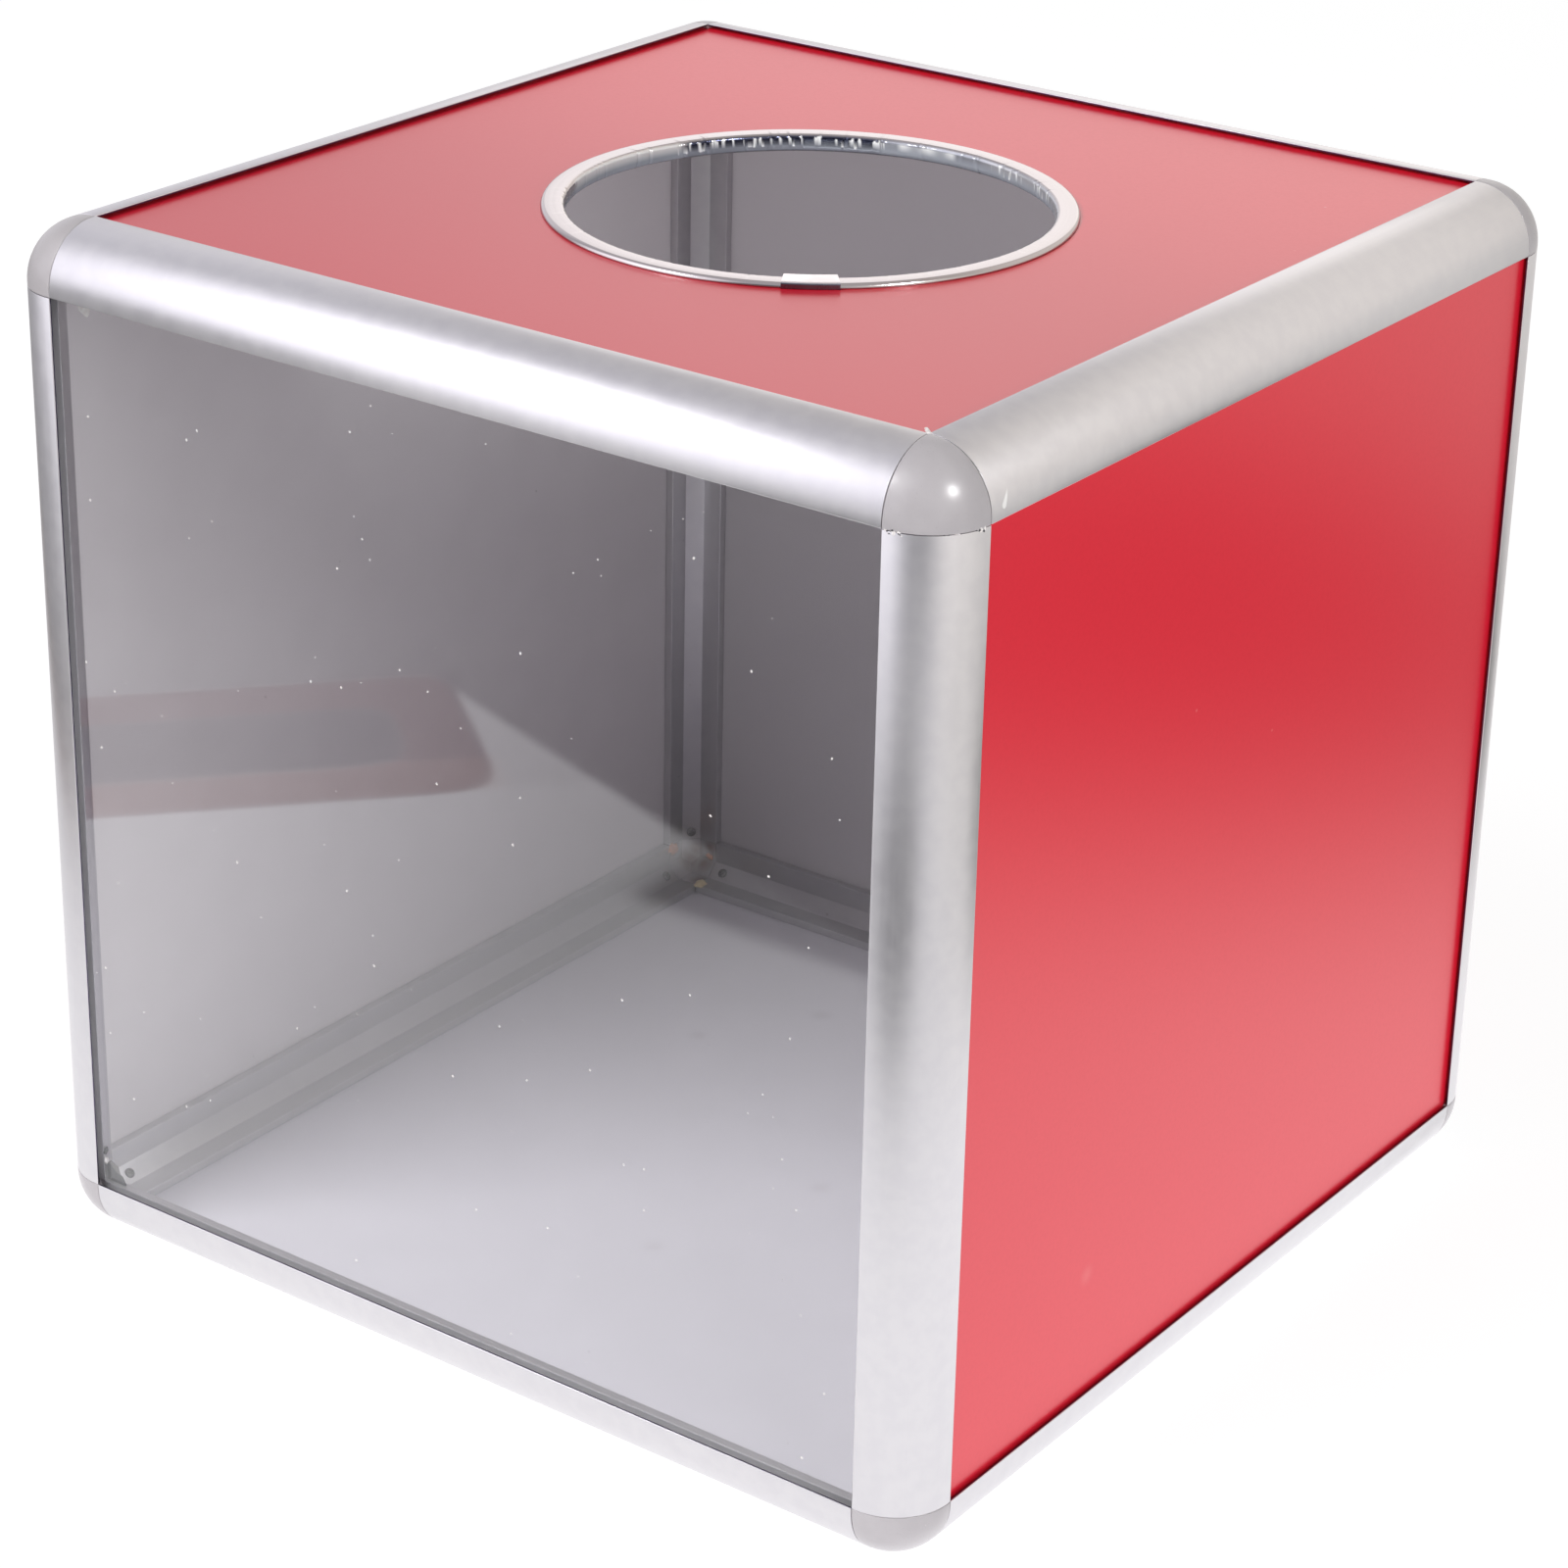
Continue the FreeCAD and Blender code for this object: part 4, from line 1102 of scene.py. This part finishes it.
sideways = add(tree, "SeparateXYZ", i0=toward).outputs
warm_side = remap(plus(sideways[0], sideways[1]), -0.6, 0.9)
gloss_tint = mix_colour(warm_side, rgb(0.985, 0.975, 1.045), rgb(1.035, 0.99, 0.94))
gloss = add(tree, "Background", Color=gloss_tint, Strength=plus(around_box, PLAIN_GLOSS)).outputs[0]
plain = add(tree, "Background", Color=rgb(1, 1, 1), Strength=AMBIENT).outputs[0]
bright = add(tree, "Background", Color=rgb(1, 1, 1), Strength=1.0).outputs[0]
backdrop = add(tree, "MixShader", i0=direct_ray(path), i1=plain, i2=bright).outputs[0]
surround = add(tree, "MixShader", i0=mirrored_ray(path), i1=backdrop, i2=gloss).outputs[0]
feed(add(tree, "OutputWorld"), "Surface", surround)
print("world:", len(GLOWS), "soft sources")


# %% Lamps
def soft_lamp(name, place, target, width, height, brightness, in_reflections=False):
    """A rectangular lamp that points at a target. Brightness is its radiance, where white is 1."""
    data = bpy.data.lights.new(name, "AREA")
    data.shape, data.size, data.size_y = "RECTANGLE", width, height
    data.energy = brightness * np.pi * width * height
    lamp = shown(name, data)
    lamp.location = place
    lamp.rotation_euler = (Vector(target) - Vector(place)).to_track_quat("-Z", "Y").to_euler()
    lamp.visible_glossy = in_reflections
    lamp.visible_camera = False
    lamp.visible_transmission = False
    return lamp


soft_lamp("side_softbox", (1.65, -0.6, 0.85), (0, 0, 0.15), 1.3, 1.0, 3.25)
soft_lamp("front_softbox", (-1.0, -2.3, 2.8), (0, 0, 0.15), 1.95, 1.95, 8.2)
# two small lamps only make highlights: name, place lit, direction to the lamp, distance, size, brightness
for name, place, direction, away, size, brightness in (
        ("small_lamp", (0.145, -0.141, 0.292), (0.797, -0.10, 0.59), 1.4, 0.2, 110),
        ("low_lamp", (0.1322, -0.1467, 0.2923), (-0.60, -0.54, 0.59), 0.6, 0.11, 22)):
    spark = soft_lamp(name, np.array(place) + away * np.array(direction), place, size, size, brightness, True)
    spark.visible_diffuse = False
print("lamps:", [light.name for light in bpy.data.lights])
